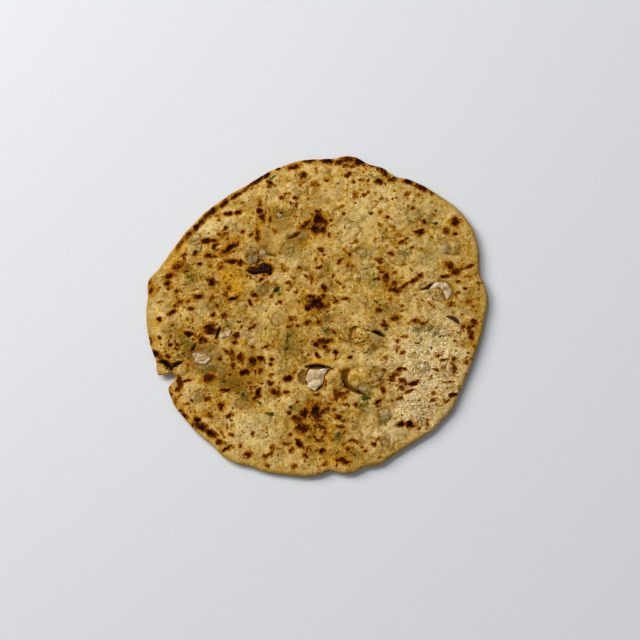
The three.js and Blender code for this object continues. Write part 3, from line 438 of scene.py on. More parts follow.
# Smaller onion bits: x, y, half sizes, turn, height above the skin
ONION_BITS = [
    (-28.4, 33.4, 1.9, 1.6, 20, 0.2), (-19.2, 54.2, 1.5, 1.1, -30, 0.2), (-17.4, 52.4, 1.3, 0.9, 20, 0.2),
    (26.4, 32.0, 1.9, 1.3, 10, 0.1), (29.8, 31.6, 1.5, 1.3, 0, 0.1), (70.5, 32.8, 1.7, 2.4, 24, 0.2),
    (-54.0, -25.2, 0.7, 0.5, 30, 0.1), (-52.4, -17.8, 0.9, 0.6, 30, 0.1),
    (-43.8, -7.6, 0.7, 0.8, 0, 0.25), (-47, -8.9, 0.8, 1.1, 20, 0.2), (31.5, -18.0, 0.7, 0.9, 0, 0.2),
    (31, -20.6, 0.5, 0.4, 0, 0.2), (61.2, 9.3, 0.9, 0.6, 0, 0.3), (48, 41, 0.7, 0.5, 0, 0.2),
    (26, -42.8, 2.3, 1.4, -15, 0.15), (-58.8, 4.4, 0.7, 0.6, 0, 0.2), (24.6, 18.2, 0.7, 0.8, 0, 0.15),
    (-49.4, -11.2, 0.9, 0.5, 40, 0.25), (-79.2, -29.8, 0.6, 0.4, 0, 0.3),
    (-56.6, -22.2, 0.6, 0.4, -20, 0.1), (-66.4, 36.4, 1.1, 0.8, 0, 0.1), (-7.8, 41.6, 0.6, 0.5, 0, 0.2),
    (5, 16.6, 0.6, 0.4, 20, 0.15), (-4.4, 66, 0.6, 0.4, 0, 0.15),
]

# Thin curls of onion: half width, rise above the skin, points
ONION_CURLS = [
    (0.45, 0.20, [(-62.6, 4.2), (-61.6, 2.4), (-61.8, 0.4), (-62.8, -0.6)]),
    (0.40, 0.20, [(-35, 0.4), (-33.4, 1.2), (-32.2, 3.2)]),
    (0.40, 0.12, [(2.8, 13.6), (3.4, 16.6), (5.8, 18), (8.2, 16.8)]),
    (0.80, 0.35, [(-8, 42.2), (-6.4, 43.6), (-4.4, 43.2), (-3.8, 41.8)]),
    (0.35, 0.15, [(-37.4, -11), (-36.6, -13), (-37, -14.6)]),
    (0.35, 0.15, [(-33.8, -11.4), (-33.2, -13.4), (-33.8, -15)]),
    (0.35, 0.12, [(-22, -3.2), (-19, -2.4), (-17.4, -4.2)]),
]
# The dark strip of red onion: half width, rise above the skin, points
RED_CURL = (1.15, 0.4, [(70.4, -4.4), (72.2, -4.9), (74.4, -5.7), (76.0, -7.0), (77.0, -8.8)])

# Herb leaves: x, y, half length, half width, turn, darkness
HERB_LEAVES = [
    (-20.8, 12.6, 2.3, 1.9, 50, 0.95), (-19, 9.8, 1.4, 0.8, -60, 0.2), (65.8, 47.4, 1.8, 1.1, -10, 0.7),
    (66.2, 54.4, 1.0, 0.8, 60, 0.3), (31.4, 54, 1.3, 0.9, 10, 0.9), (26.8, -47.6, 3.2, 1.5, 14, 0.7),
    (26, -54.6, 1.1, 0.7, 0, 0.4), (-23.6, -55.6, 2.4, 1.1, -5, 0.5), (-12.4, -52, 1.3, 0.9, 30, 0.8),
    (-40.9, -5.3, 1.5, 0.7, 0, 1.0), (-24, 76.6, 2.2, 0.7, 35, 0.4), (-20.6, 4.2, 1.0, 0.7, 0, 0.9),
    (12.9, 72, 0.8, 0.6, 0, 0.7), (51.2, 57.8, 0.8, 0.8, 0, 0.5), (39.4, 44.4, 0.6, 1.1, 0, 0.6),
    (33, 4.4, 1.6, 0.8, -20, 0.6), (32.4, 16.6, 1.1, 0.9, 30, 0.9), (-65.6, -47.8, 1.2, 0.8, -40, 0.8),
    (-48.4, -37.6, 2.0, 0.9, 5, 0.7), (-8.4, 5.2, 0.7, 0.8, 0, 0.8), (24.4, -51.6, 1.2, 0.6, 60, 0.5),
    (20.6, -22.6, 1.0, 0.6, -30, 0.3), (27.2, -23.4, 1.3, 0.5, 10, 0.3), (66.8, -15.4, 1.3, 0.8, 40, 0.7),
    (62.2, -21.6, 0.7, 0.8, 0, 0.8), (54.8, -18.8, 1.7, 0.8, 0, 0.4), (-43.6, -51.8, 0.5, 0.6, 0, 1.0),
    (-39, -52.4, 0.5, 0.4, 0, 1.0), (-2.6, -82, 0.6, 0.4, 40, 0.8), (-26.4, -9.2, 1.0, 0.7, 30, 0.6),
    (-15, -20.4, 1.5, 0.8, 40, 0.9), (-13.6, -13.4, 0.9, 1.1, 0, 0.7), (-66, -8, 0.9, 0.7, 30, 0.8),
    (15.4, -59.4, 1.8, 0.8, 10, 0.6), (12.6, -66.8, 1.6, 1.1, 60, 0.5), (-69, 20.6, 1.2, 0.8, 0, 0.6),
    (74.8, -23.2, 0.9, 0.6, 0, 0.3), (86.4, -2, 0.6, 0.6, 0, 0.6), (83.4, 15, 0.6, 0.6, 0, 0.5),
    (-38, -44.6, 1.6, 0.8, 60, 0.9), (-44.4, -58.6, 1.1, 0.7, 0, 0.6), (20.2, 49.6, 1.6, 0.5, 5, 0.5),
    (-29.4, -49.2, 1.6, 0.9, -50, 0.4), (46, -57, 0.8, 0.6, 0, 0.6), (-58, -33.2, 1.2, 0.7, 10, 0.5),
    (56.8, 40.4, 1.3, 0.7, -10, 0.5), (23.8, 38.4, 0.8, 0.5, 0, 0.5), (-73, 12.4, 0.8, 0.7, 0, 0.8),
    (-62.8, 51, 0.7, 0.5, 0, 0.4), (6.6, -10.8, 2.2, 1.0, 30, 0.5), (38.4, -10.8, 1.4, 0.9, 20, 0.7),
]

# Pieces of herb stem: each a line
HERB_STEMS = [
    [(17.6, -74.6), (19.4, -76.4), (21.6, -78)], [(12.9, -74.8), (11.6, -76.6), (10.8, -77.8)],
    [(24.8, 19.4), (24.6, 17.2), (24.2, 15.4)], [(43.4, 74), (45.8, 72.4)], [(-27, 66.8), (-25.8, 64)],
    [(-15.2, -17.4), (-14.4, -14.6), (-14.9, -11.8)],
]

# The charred curl that stands up behind the middle
CHARRED_BAR = [(-37, 23.6), (-35.6, 22.8), (-33, 22.2), (-30.6, 22.4), (-28, 22.8), (-25.4, 22)]
CHARRED_BLOB = [
    (-31, 25.2), (-29.4, 27), (-27.2, 27.2), (-25.6, 25.6), (-24, 24), (-22.8, 21.4), (-25, 21),
    (-27.4, 22.6), (-30, 22.8),
]


# ---------------------------------------------------------------- fields in the plane
@functools.lru_cache(maxsize=None)
def lattice(seed):
    """A seeded square table of random values from -1 to 1, and the angle by which it is turned."""
    draw = np.random.default_rng(seed)
    return draw.uniform(-1, 1, (LATTICE, LATTICE)), draw.uniform(0, math.pi)


def noise(x, y, size, seed):
    """Smooth random field from -1 to 1: random values on a turned square lattice of the given cell
    size, blended between a cell's four corners by a smooth step."""
    table, turn = lattice(seed)
    u = (x * math.cos(turn) + y * math.sin(turn)) / size + 250.3
    v = (y * math.cos(turn) - x * math.sin(turn)) / size + 250.7
    i = np.floor(u).astype(int)
    j = np.floor(v).astype(int)
    fu = smooth(u - i)
    fv = smooth(v - j)
    i, j, k, m = (n % LATTICE for n in (i, j, i + 1, j + 1))
    near_side = table[i, j] * (1 - fu) + table[k, j] * fu
    far_side = table[i, m] * (1 - fu) + table[k, m] * fu
    return near_side * (1 - fv) + far_side * fv


def fractal(x, y, size, seed, octaves=3):
    """Sum of noise fields, each half the size and just over half the height of the one before."""
    total, weight, height = 0.0, 0.0, 1.0
    for n in range(octaves):
        total = total + height * noise(x, y, size / 2**n, seed + 17 * n)
        weight += height
        height *= 0.55
    return total / weight


def warped(x, y, *steps):
    """The plane pushed about by noise. Each step has how far, the cell size and the first of two seeds."""
    wx, wy = x, y
    for far, size, seed in steps:
        wx = wx + far * noise(x, y, size, seed)
        wy = wy + far * noise(x, y, size, seed + 1)
    return wx, wy


def smooth(t):
    """Smooth step from 0 to 1 as t runs from 0 to 1."""
    t = np.clip(t, 0, 1)
    return t * t * (3 - 2 * t)


def bump(distance):
    """One at no distance, falling smoothly to nothing at distance 1."""
    return np.clip(1 - distance * distance, 0, None) ** 2


def oval_distance(x, y, row):
    """Distance from an oval's middle, as a share of its half sizes."""
    px, py, a, b, turn = row[:5]
    c, s = math.cos(math.radians(turn)), math.sin(math.radians(turn))
    u = ((x - px) * c + (y - py) * s) / a
    v = ((y - py) * c - (x - px) * s) / b
    return np.hypot(u, v)


def segment_distance(x, y, start, end):
    """Distance from a straight stretch, and the share of the way along it."""
    dx, dy = end[0] - start[0], end[1] - start[1]
    t = np.clip(((x - start[0]) * dx + (y - start[1]) * dy) / max(dx * dx + dy * dy, TINY), 0, 1)
    return np.hypot(x - start[0] - t * dx, y - start[1] - t * dy), t


def line_distance(x, y, points):
    """Distance from a line through points, and the share of the way along it."""
    best = np.full(x.shape, np.inf)
    along = np.zeros(x.shape)
    for n in range(len(points) - 1):
        d, t = segment_distance(x, y, points[n], points[n + 1])
        closer = d < best
        best = np.where(closer, d, best)
        along = np.where(closer, (n + t) / (len(points) - 1), along)
    return best, along


def rounded(points, times=2):
    """A closed outline with its corners cut a number of times, so that it runs smoothly."""
    p = np.array(points, float)
    for _ in range(times):
        q = np.roll(p, -1, axis=0)
        p = np.stack([0.75 * p + 0.25 * q, 0.25 * p + 0.75 * q], 1).reshape(-1, 2)
    return p


def outline_distance(x, y, points):
    """Signed distance from a closed outline, negative inside."""
    p = rounded(points)
    best = np.full(x.shape, np.inf)
    inside = np.zeros(x.shape, bool)
    for n in range(len(p)):
        a, b = p[n - 1], p[n]
        best = np.minimum(best, segment_distance(x, y, a, b)[0])
        if a[1] != b[1]:
            crosses = (a[1] > y) != (b[1] > y)
            inside ^= crosses & (x < (b[0] - a[0]) * (y - a[1]) / (b[1] - a[1]) + a[0])
    return np.where(inside, -best, best)


def ray_reach(starts, ends, angle):
    """How far a ray from the origin at each angle runs to the last straight edge that it crosses. It
    crosses an edge whose two ends lie on opposite sides of it."""
    c, s = np.cos(angle)[:, None], np.sin(angle)[:, None]
    side = starts[:, 0] * s - starts[:, 1] * c
    other = ends[:, 0] * s - ends[:, 1] * c
    t = side / np.where(side == other, TINY, side - other)
    x = starts[:, 0] + t * (ends[:, 0] - starts[:, 0])
    y = starts[:, 1] + t * (ends[:, 1] - starts[:, 1])
    return np.where((side * other <= 0) & (side != other), x * c + y * s, 0).max(1)


# ---------------------------------------------------------------- the outline, read from the frame
def plan_outline(node):
    """Distance of a node's plan outline from the origin, at each of the angles."""
    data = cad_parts[node].data
    points = np.zeros(len(data.vertices) * 3, np.float32)
    data.vertices.foreach_get("co", points)
    points = points.reshape(-1, 3)[:, :2].astype(float) / MM
    pairs = np.zeros(len(data.edges) * 2, np.int32)
    data.edges.foreach_get("vertices", pairs)
    starts, ends = points[pairs[0::2]], points[pairs[1::2]]
    outer = np.maximum(np.hypot(*starts.T), np.hypot(*ends.T)) > OUTLINE_FROM
    return ray_reach(starts[outer], ends[outer], ANGLES)


def blurred(values, width):
    """A closed row of values, softened over a number of neighbours."""
    n = int(4 * width)
    weights = np.exp(-0.5 * (np.arange(-n, n + 1) / width) ** 2)
    wrapped = np.concatenate([values[-n:], values, values[:n]])
    return np.convolve(wrapped, weights / weights.sum(), "valid")


cad_edge = plan_outline("dough")
beside_notch = (ANGLES < NOTCH_FROM) | (ANGLES > NOTCH_TO)
TORN_EDGE = blurred(cad_edge, 2.0)
WHOLE_EDGE = blurred(np.interp(ANGLES, ANGLES[beside_notch], cad_edge[beside_notch]), 7.0)
RAGGED = 0.22 * noise(95 * np.cos(ANGLES), 95 * np.sin(ANGLES), 4.0, 5)
RAGGED += 0.10 * noise(95 * np.cos(ANGLES), 95 * np.sin(ANGLES), 1.6, 6)


def edge_at(angle, torn=False):
    """Reach of the bread's edge at an angle, with the notch torn out of it or without."""
    values = (TORN_EDGE if torn else WHOLE_EDGE) + RAGGED
    return np.interp(angle % FULL_TURN, ANGLES, values, period=FULL_TURN)


def lift_at(angle):
    """How far the edge lies clear of the table: two waves round the bread."""
    return 0.5 + 0.22 * np.sin(2 * angle + 0.7) + 0.16 * np.sin(5 * angle + 2.1)


def underside(x, y):
    """Height of the underside: flat inside, rising a little towards the edge."""
    angle = np.arctan2(y, x)
    share = np.hypot(x, y) / edge_at(angle)
    return lift_at(angle) * smooth((share - FLAT_SHARE) / (1 - FLAT_SHARE))


def plain_top(x, y):
    """Height of the top skin before its small relief: a rise from the rim, long waves and soft lumps."""
    inward = np.clip(edge_at(np.arctan2(y, x)) - np.hypot(x, y), 0, None)
    rise = (CENTRE_HEIGHT - RIM_HEIGHT) * (1 - np.exp(-np.clip(inward - 4, 0, None) / RISE_LENGTH))
    waves = 0.16 * np.sin(x / 11.5 + 0.6) * np.sin(y / 13.5 - 0.4)
    waves += 0.12 * np.sin((x + y) / 17 + 1.1) + 0.10 * np.sin((x - 1.7 * y) / 14 + 2)
    height = RIM_HEIGHT + rise + underside(x, y) + waves * smooth(inward / 16)
    for px, py, reach, up in LUMPS:
        height = height + up * bump(np.hypot(x - px, y - py) / reach)
    return height


# ---------------------------------------------------------------- what is drawn on the skin
def near(x, y, points, margin):
    """Which places lie within a margin of the box round some points."""
    p = np.array(points, float)
    low, high = p.min(0) - margin, p.max(0) + margin
    return (x > low[0]) & (x < high[0]) & (y > low[1]) & (y < high[1])


def raise_to(field, here, values):
    """Lifts a field to the given values where they are higher."""
    field[here] = np.maximum(field[here], values)


def blank(x, count):
    """A number of fields of nothing, in the shape of the places."""
    return [np.zeros(x.shape) for _ in range(count)]


def tears_at(x, y):
    """Depth of the tears, how far a place is inside one, and a lip round them. Edges are ragged."""
    wx, wy = warped(x, y, (0.45, 1.9, 21), (0.2, 0.9, 25))
    depth, inside, lip = blank(x, 3)
    for deep, soft, dark, points in TEARS:
        here = near(x, y, points, 4)
        d = outline_distance(wx[here], wy[here], points)
        share = smooth(0.5 - d / soft)
        raise_to(depth, here, deep * share)
        raise_to(inside, here, share * dark)
        raise_to(lip, here, np.exp(-((np.clip(d, 0, None) / 1.3) ** 2)) * (d > -0.3) * min(1, deep / 2))
    return depth, inside, lip


def cracks_at(x, y):
    """Depth of the cracks, and the painted shadow in them. Each is widest half way along."""
    wx, wy = warped(x, y, (0.30, 1.5, 23), (0.15, 0.8, 27))
    depth, dark = blank(x, 2)
    for half, deep, points in CRACKS:
        here = near(x, y, points, 3)
        d, t = line_distance(wx[here], wy[here], points)
        half_here = 1.3 * half * (0.45 + 0.55 * np.sin(math.pi * np.clip(t, 0.03, 0.97)))
        raise_to(depth, here, deep * smooth((half_here + 0.35 - d) / 0.7))
        # Painted shadow: the deeper the cut, the darker its inside is painted
        raise_to(dark, here, min(1, deep / 1.8) ** 0.7 * smooth((half_here + 0.25 - d) / 0.5))
    return depth, dark


def mark_field(x, y, rows, strength, seed, wide=1.08, power=4):
    """Browning, from 0 to its strength: each mark fades from its middle over its half sizes, and the
    plane is first warped by noise so that the marks are ragged. The strongest mark counts."""
    ripples = [0.75 * noise(x, y, 2.4, n) + 0.45 * noise(x, y, 1.1, n + 1) for n in (seed, seed + 2)]
    best = np.zeros(x.shape)
    for row in rows:
        px, py, a, b = row[:4]
        here = np.abs(x - px) + np.abs(y - py) < 3.2 * wide * (a + b) + 3
        size = min(1.1, 0.3 + 0.4 * min(a, b))
        q = oval_distance(x[here] + size * ripples[0][here], y[here] + size * ripples[1][here], row)
        own = strength * (0.86 + 0.14 * math.sin(7.1 * px + 3.7 * py))
        raise_to(best, here, own / (1 + (q / wide) ** power))
    return best


def patch_field(x, y, rows):
    """Soft patches: each fades as a bell curve, its plane warped by noise; they add up to at most one."""
    wx, wy = warped(x, y, (2.2, 7, 31))
    total = np.zeros(x.shape)
    for row in rows:
        total = total + row[5] * np.exp(-0.9 * oval_distance(wx, wy, row) ** 2)
    return np.clip(total, 0, 1)


def domes_at(x, y):
    """Height of the domes, how clear they are, and the dip round each."""
    wx, wy = warped(x, y, (0.9, 3.2, 35), (0.4, 1.6, 37))
    height, clear, dip = blank(x, 3)
    for px, py, a, b, turn, rise, grey in DOMES + SMALL_DOMES:
        here = np.abs(x - px) + np.abs(y - py) < 2.4 * (a + b)
        q = oval_distance(wx[here], wy[here], (px, py, a, b, turn))
        raise_to(height, here, rise * bump(q / 1.1) ** (0.75 if rise < 1 else 0.4))
        raise_to(clear, here, grey * smooth((1.15 - q) / 0.6))
        raise_to(dip, here, min(1, rise / 0.42) * np.exp(-(((q - 1.12) / (0.45 / min(a, b))) ** 2)))
    return height, clear, dip * smooth(0.5 + 1.2 * noise(x, y, 4.5, 39))


def creases_at(x, y):
    """Folds of the skin: narrow lines where a warped noise field is nought, broken by a wider one."""
    line = noise(*warped(x, y, (2.0, 5, 74)), 8.5, 73)
    return smooth(1 - np.abs(line) / 0.09) * smooth((noise(x, y, 11, 76) + 0.15) / 0.4)


def skin(x, y, upper=None):
    """Everything about the skin at the given places: the height of the finished top, and the fields
    that its look reads. The height is the plain top with waves, domes, creases and charred blisters,
    less the tears and cracks cut down into it. Where upper is false, the fields are the underside's."""
    inward = edge_at(np.arctan2(y, x)) - np.hypot(x, y)
    inner = smooth((inward - 1) / 7)
    coarse, middle, fine = [fractal(x, y, size, seed, 2) for size, seed in ((9.0, 51), (4.0, 61), (1.9, 66))]
    rise, clear, dip = domes_at(x, y)
    crease = creases_at(x, y) * inner
    burnt = mark_field(x, y, BLACKENED, 1.0, 81, 1.16)
    brown = mark_field(x, y, BROWNED, 0.72, 91, 1.12)
    fleck = mark_field(x, y, FLECKS, 0.60, 93, 1.0)
    halo = mark_field(x, y, BLACKENED + BROWNED, 1.0, 86, 2.0, 3)
    depth, torn, lip = tears_at(x, y)
    cut, crack = cracks_at(x, y)
    height = plain_top(x, y) + (0.50 * coarse + 0.42 * middle + 0.20 * fine) * (0.2 + 0.8 * inner)
    height = height + rise * inner - 0.16 * dip * inner - 0.14 * crease
    height = height + 0.14 * smooth((burnt - 0.35) / 0.4) + 0.22 * lip * (1 - torn) - depth - cut
    # Painted shade, with oil pooled there: darkest where the relief lies low, in the dips round the domes and
    # in the creases; the ring is the dip round each dome, darkened as painted shade in the look
    low = np.clip(0.50 - 0.9 * middle - 0.35 * coarse - 0.7 * fine - 0.9 * rise, 0, 1)
    hollow = np.clip(0.75 * smooth((low - 0.35) / 0.6) + 0.7 * dip + 0.45 * crease, 0, 1)
    hollow = hollow * (0.35 + 0.65 * inner)
    fields = {
        "char": np.maximum(np.maximum(burnt, brown), fleck), "halo": halo, "hollow": hollow,
        "clear": clear * inner, "torn": torn, "lip": lip, "ring": dip * inner, "crack": crack,
        # rim: nearness to the edge, where painted shade darkens the rounded rim
        "rim": np.exp(-((np.clip(inward, 0, None) / 2.6) ** 2)),
    }
    fields.update({name: patch_field(x, y, rows) for name, rows in PATCHES.items()})
    if upper is None:
        return height, fields
    below = {
        "char": mark_field(x, y, UNDER_MARKS, 0.9, 95),
        "halo": mark_field(x, y, UNDER_MARKS, 1.0, 96, 2.0, 3),
        "hollow": hollow * 0.8, "rim": fields["rim"], **UNDER_PATCHES,
    }
    return height, {name: np.where(upper, values, below.get(name, 0.0)) for name, values in fields.items()}


def carved_top(x, y):
    """Height of the finished top."""
    return skin(np.asarray(x, float), np.asarray(y, float))[0]


def laid(line, rise):
    """The points of a line in the plane, set at a height above the finished top."""
    heights = carved_top(*np.array(line, float).T)
    return [(x, y, z + rise) for (x, y), z in zip(line, heights)]


def scattered(count, seed, reach=84):
    """A seeded source of draws, and places strewn evenly over a disc."""
    draw = np.random.default_rng(seed)
    r = reach * np.sqrt(draw.uniform(0, 1, count))
    a = draw.uniform(0, FULL_TURN, count)
    return draw, r * np.cos(a), r * np.sin(a)


draw, sx, sy = scattered(SMALL_DOME_COUNT, 12)
SMALL_DOMES = [
    (x, y, draw.uniform(1.3, 3.4), draw.uniform(1.1, 2.6), draw.uniform(0, 180), draw.uniform(0.12, 0.42),
     draw.uniform(0, 1) ** 2 * 0.7) for x, y in zip(sx, sy)
]
# Flecks: small browned marks, most of them strewn round the larger ones
draw, sx, sy = scattered(FLECK_COUNT, 33, 88)
nearest = np.array([row[:2] for row in BLACKENED + BROWNED + BROWNED])
nearest = nearest[draw.integers(0, len(nearest), FLECK_COUNT)] + draw.normal(0, 4.6, (FLECK_COUNT, 2))
grouped = draw.uniform(0, 1, FLECK_COUNT) < 0.6
sx, sy = np.where(grouped, nearest[:, 0], sx), np.where(grouped, nearest[:, 1], sy)
size = np.clip(0.36 * np.exp(draw.normal(0, 0.5, FLECK_COUNT)), 0.18, 1.2)
FLECKS = [(x, y, half * draw.uniform(1, 2.4), half, draw.uniform(0, 180))
          for x, y, half in zip(sx, sy, size) if math.hypot(x, y) < 88]
# Marks of the unseen underside, strewn at random
draw, sx, sy = scattered(UNDER_MARK_COUNT, 77, 82)
UNDER_MARKS = [(x, y, draw.uniform(0.8, 3.6), draw.uniform(0.7, 2.4), draw.uniform(0, 180))
               for x, y in zip(sx, sy)]


# ---------------------------------------------------------------- meshes
def build(name, points, faces, uv=None, attributes=None):
    """A smooth-shaded mesh object at the origin from points in millimetres and an array of triangles."""
    mesh = bpy.data.meshes.new(name)
    count = len(faces)
    mesh.vertices.add(len(points))
    mesh.vertices.foreach_set("co", (np.asarray(points, float) * MM).astype(np.float32).ravel())
    mesh.loops.add(count * 3)
    mesh.loops.foreach_set("vertex_index", np.asarray(faces, np.int32).ravel())
    mesh.polygons.add(count)
    mesh.polygons.foreach_set("loop_start", np.arange(count, dtype=np.int32) * 3)
    mesh.polygons.foreach_set("loop_total", np.full(count, 3, np.int32))
    mesh.polygons.foreach_set("use_smooth", np.ones(count, bool))
    mesh.update(calc_edges=True)
    if uv is not None:
        layer = mesh.uv_layers.new(name="OFBake")
        layer.data.foreach_set("uv", np.asarray(uv, np.float32).ravel())
    for key, values in (attributes or {}).items():
        layer = mesh.attributes.new(key, "FLOAT", "POINT")
        layer.data.foreach_set("value", np.asarray(values, np.float32))
    thing = bpy.data.objects.new(name, mesh)
    bpy.context.scene.collection.objects.link(thing)
    return thing


def quads(a, b, c, d):
    """Two triangles for each four corners, taken anticlockwise."""
    return np.concatenate([np.stack([a, b, c], -1).reshape(-1, 3), np.stack([a, c, d], -1).reshape(-1, 3)])


def cap(middle, ring):
    """Triangles from one middle point to each two neighbours of a closed ring."""
    return np.stack([np.full(len(ring), middle), ring, np.roll(ring, -1)], -1)


def bands(rings):
    """Triangles between neighbouring closed rings, from the inner or upper one to the next. A ring may
    have half as many points as the one before."""
    faces = []
    for upper, lower in zip(rings[:-1], rings[1:]):
        if len(upper) == len(lower):
            faces.append(quads(upper, lower, np.roll(lower, -1), np.roll(upper, -1)))
        else:
            first, second, third = upper[0::2], upper[1::2], np.roll(upper[0::2], -1)
            after = np.roll(lower, -1)
            faces.append(np.stack([first, lower, second], -1))
            faces.append(np.stack([second, lower, after], -1))
            faces.append(np.stack([second, after, third], -1))
    return np.concatenate(faces)


def disc_grid(cells):
    """Points of a square grid drawn out to a disc, as reach from 0 to 1 and angle: each square shell
    becomes a circle. Also gives the grid's triangles and the order of its border."""
    side = np.linspace(-1, 1, cells + 1)
    a, b = np.meshgrid(side, side, indexing="ij")
    wide = np.abs(a) > np.abs(b)
    safe_a = np.where(np.abs(a) < TINY, TINY, a)
    safe_b = np.where(np.abs(b) < TINY, TINY, b)
    angle = np.where(wide, math.pi / 4 * b / safe_a, math.pi / 2 - math.pi / 4 * a / safe_b)
    angle = angle + np.where(np.where(wide, a < 0, b < 0), math.pi, 0)
    reach = np.maximum(np.abs(a), np.abs(b))
    index = np.arange((cells + 1) ** 2).reshape(cells + 1, cells + 1)
    faces = quads(index[:-1, :-1], index[1:, :-1], index[1:, 1:], index[:-1, 1:])
    border = np.concatenate([index[:-1, 0], index[-1, :-1], index[:0:-1, -1], index[0, :0:-1]])
    return reach.ravel(), angle.ravel(), faces, border


def torn_reach(share, angle, inset):
    """Distance from the origin for a share of the way to the edge, less an inset. The notch is drawn
    in only near the edge, so that the grid stays even inside."""
    whole = edge_at(angle) - inset
    torn = edge_at(angle, torn=True) - inset
    return share * whole + (torn - whole) * smooth((share - 0.84) / 0.16) * np.minimum(share, 1)


class Shell:
    """A closed skin in the making: the points of a disc grid, then ring after ring down and inwards."""

    def __init__(self, points, border):
        self.points = [points]
        self.rings = [border]
        self.total = len(points)

    def ring(self, reach, angle, height):
        """Adds a ring of points."""
        self.points.append(np.stack([reach * np.cos(angle), reach * np.sin(angle), height], -1))
        self.rings.append(np.arange(self.total, self.total + len(angle)))
        self.total += len(angle)

    def closed(self, height):
        """All the points with one more in the middle, and the triangles that join it to the last ring,
        facing down."""
        points = np.concatenate(self.points + [np.array([[0, 0, height]])])
        return points, cap(self.total, self.rings[-1])[:, [1, 0, 2]]


def add_side(shell, angle, top, low):
    """The rim's rounded side: rings on a squared half circle between two heights, wavering a little."""
    outer = edge_at(angle, torn=True)
    for degrees in SIDE_TURNS:
        turn = math.radians(degrees)
        inset = SIDE_DEPTH * (1 - abs(math.cos(turn)) ** 0.85)
        height = math.copysign(abs(math.sin(turn)) ** 0.9, turn)
        waver = 0.10 * noise(90 * angle, np.full(angle.shape, degrees / 10), 2.2, 33) * math.cos(turn)
        shell.ring(outer - inset + waver, angle, (top + low) / 2 + (top - low) / 2 * height)


def add_underside(shell, angle):
    """The underside: rings that follow its height, with a faint relief only near the edge."""
    for n, share in enumerate(UNDER_SHARES):
        if n in HALVED_AT:
            angle = angle[0::2]
        reach = torn_reach(np.full(angle.shape, share), angle, 0.0)
        x, y = reach * np.cos(angle), reach * np.sin(angle)
        relief = 0.05 * np.abs(fractal(x, y, 5, 55)) * smooth((share - 0.8) / 0.1)
        shell.ring(reach, angle, np.maximum(underside(x, y) + relief, 0))


def disc_uv(theta, reach, centre, radius):
    """Places on a disc of the UV square, given by angle and reach."""
    return centre + radius * reach[:, None] * np.stack([np.cos(theta), np.sin(theta)], -1)


def dough_uv(points, rings, share, top_faces, under_faces):
    """The dough's places on the UV square: a large disc for the top and side, where reach follows the
    grid's shares and then the rings, and a small disc for the underside, where it follows the distance."""
    theta = np.arctan2(points[:, 1], points[:, 0])
    top_reach, drop = np.zeros(len(points)), np.zeros(len(points))
    top_reach[: len(share)] = share * UV_TOP_SHARE
    last = len(SIDE_TURNS) + 1
    for n in range(1, last):
        top_reach[rings[n]] = UV_TOP_SHARE + (1 - UV_TOP_SHARE) * n / SEAM_RING
    for n in range(SEAM_RING, last):
        drop[rings[n]] = (last - n) * UV_RING_STEP
    under_reach = 0.95 * np.clip(np.hypot(points[:, 0], points[:, 1]) / edge_at(theta), 0, 1) + drop
    large, small = disc_uv(theta, top_reach, *UV_TOP_DISC), disc_uv(theta, under_reach, *UV_UNDER_DISC)
    return np.concatenate([large[top_faces.ravel()], small[under_faces.ravel()]])


def make_dough():
    """The dough's whole skin: a disc grid for the top, rings round the rim's rounded side, and rings
    that thin out to the middle of the underside."""
    share, angle, faces, border = disc_grid(TOP_CELLS)
    reach = torn_reach(share, angle, SIDE_DEPTH * share)
    x, y = reach * np.cos(angle), reach * np.sin(angle)
    z, top_fields = skin(x, y)
    shell = Shell(np.stack([x, y, z], -1), border)
    round_edge = angle[border]
    inner = edge_at(round_edge, torn=True) - SIDE_DEPTH
    low = underside(inner * np.cos(round_edge), inner * np.sin(round_edge)) + SIDE_FOOT
    add_side(shell, round_edge, z[border], low)
    add_underside(shell, round_edge)
    points, fan = shell.closed(0)
    top_faces = np.concatenate([faces, bands(shell.rings[:SEAM_RING + 1])])
    under_faces = np.concatenate([bands(shell.rings[SEAM_RING:]), fan])
    rest = points[len(share):]
    upper = np.arange(len(rest)) < SEAM_RING * len(border)
    rest_fields = skin(rest[:, 0], rest[:, 1], upper)[1]
    fields = {name: np.concatenate([values, rest_fields[name]]) for name, values in top_fields.items()}
    uv = dough_uv(points, shell.rings, share, top_faces, under_faces)
    return build("bread_dough", points, np.concatenate([top_faces, under_faces]), uv, fields)


def make_filling():
    """The filling layer: a lumpy disc between the skins, its top following the bread's top one skin
    lower, its underside flat."""
    share, angle, faces, border = disc_grid(FILLING_CELLS)
    low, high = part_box("filling")
    floor = low.z / MM
    reach = share * (edge_at(angle) * (high.x - low.x) / 2 / MM / BREAD_REACH - 0.6)
    x, y = reach * np.cos(angle), reach * np.sin(angle)
    z = plain_top(x, y) - TOP_SKIN - SEAT_GAP
    z = z + 0.28 * fractal(x, y, 3.0, 101) + 0.2 * np.clip(noise(x, y, 2.0, 103), 0, 1)
    for px, py, size, up in FILLING_SWELLS:
        z = z + up * bump(np.hypot(x - px, y - py) / size)
    z = z - 1.3 * smooth(2 * cracks_at(x, y)[1])
    shell = Shell(np.stack([x, y, z], -1), border)
    for part, inset in FILLING_SIDE:
        r = reach[border] - inset
        base = floor + underside(r * np.cos(angle[border]), r * np.sin(angle[border]))
        shell.ring(r, angle[border], base + part * (z[border] - base))
    points, fan = shell.closed(floor)
    shade = np.clip(0.3 + 0.8 * noise(points[:, 0], points[:, 1], 3.0, 107), 0, 1) * 0.5
    return points, np.concatenate([faces, bands(shell.rings), fan]), shade


# ---------------------------------------------------------------- onion, herbs, charred dough
def capped(rings, top, bottom):
    """Triangles between rings of point numbers, closed at both ends by one point each."""
    return np.concatenate([bands(rings), cap(top, rings[0]), cap(bottom, rings[-1])[:, [0, 2, 1]]])


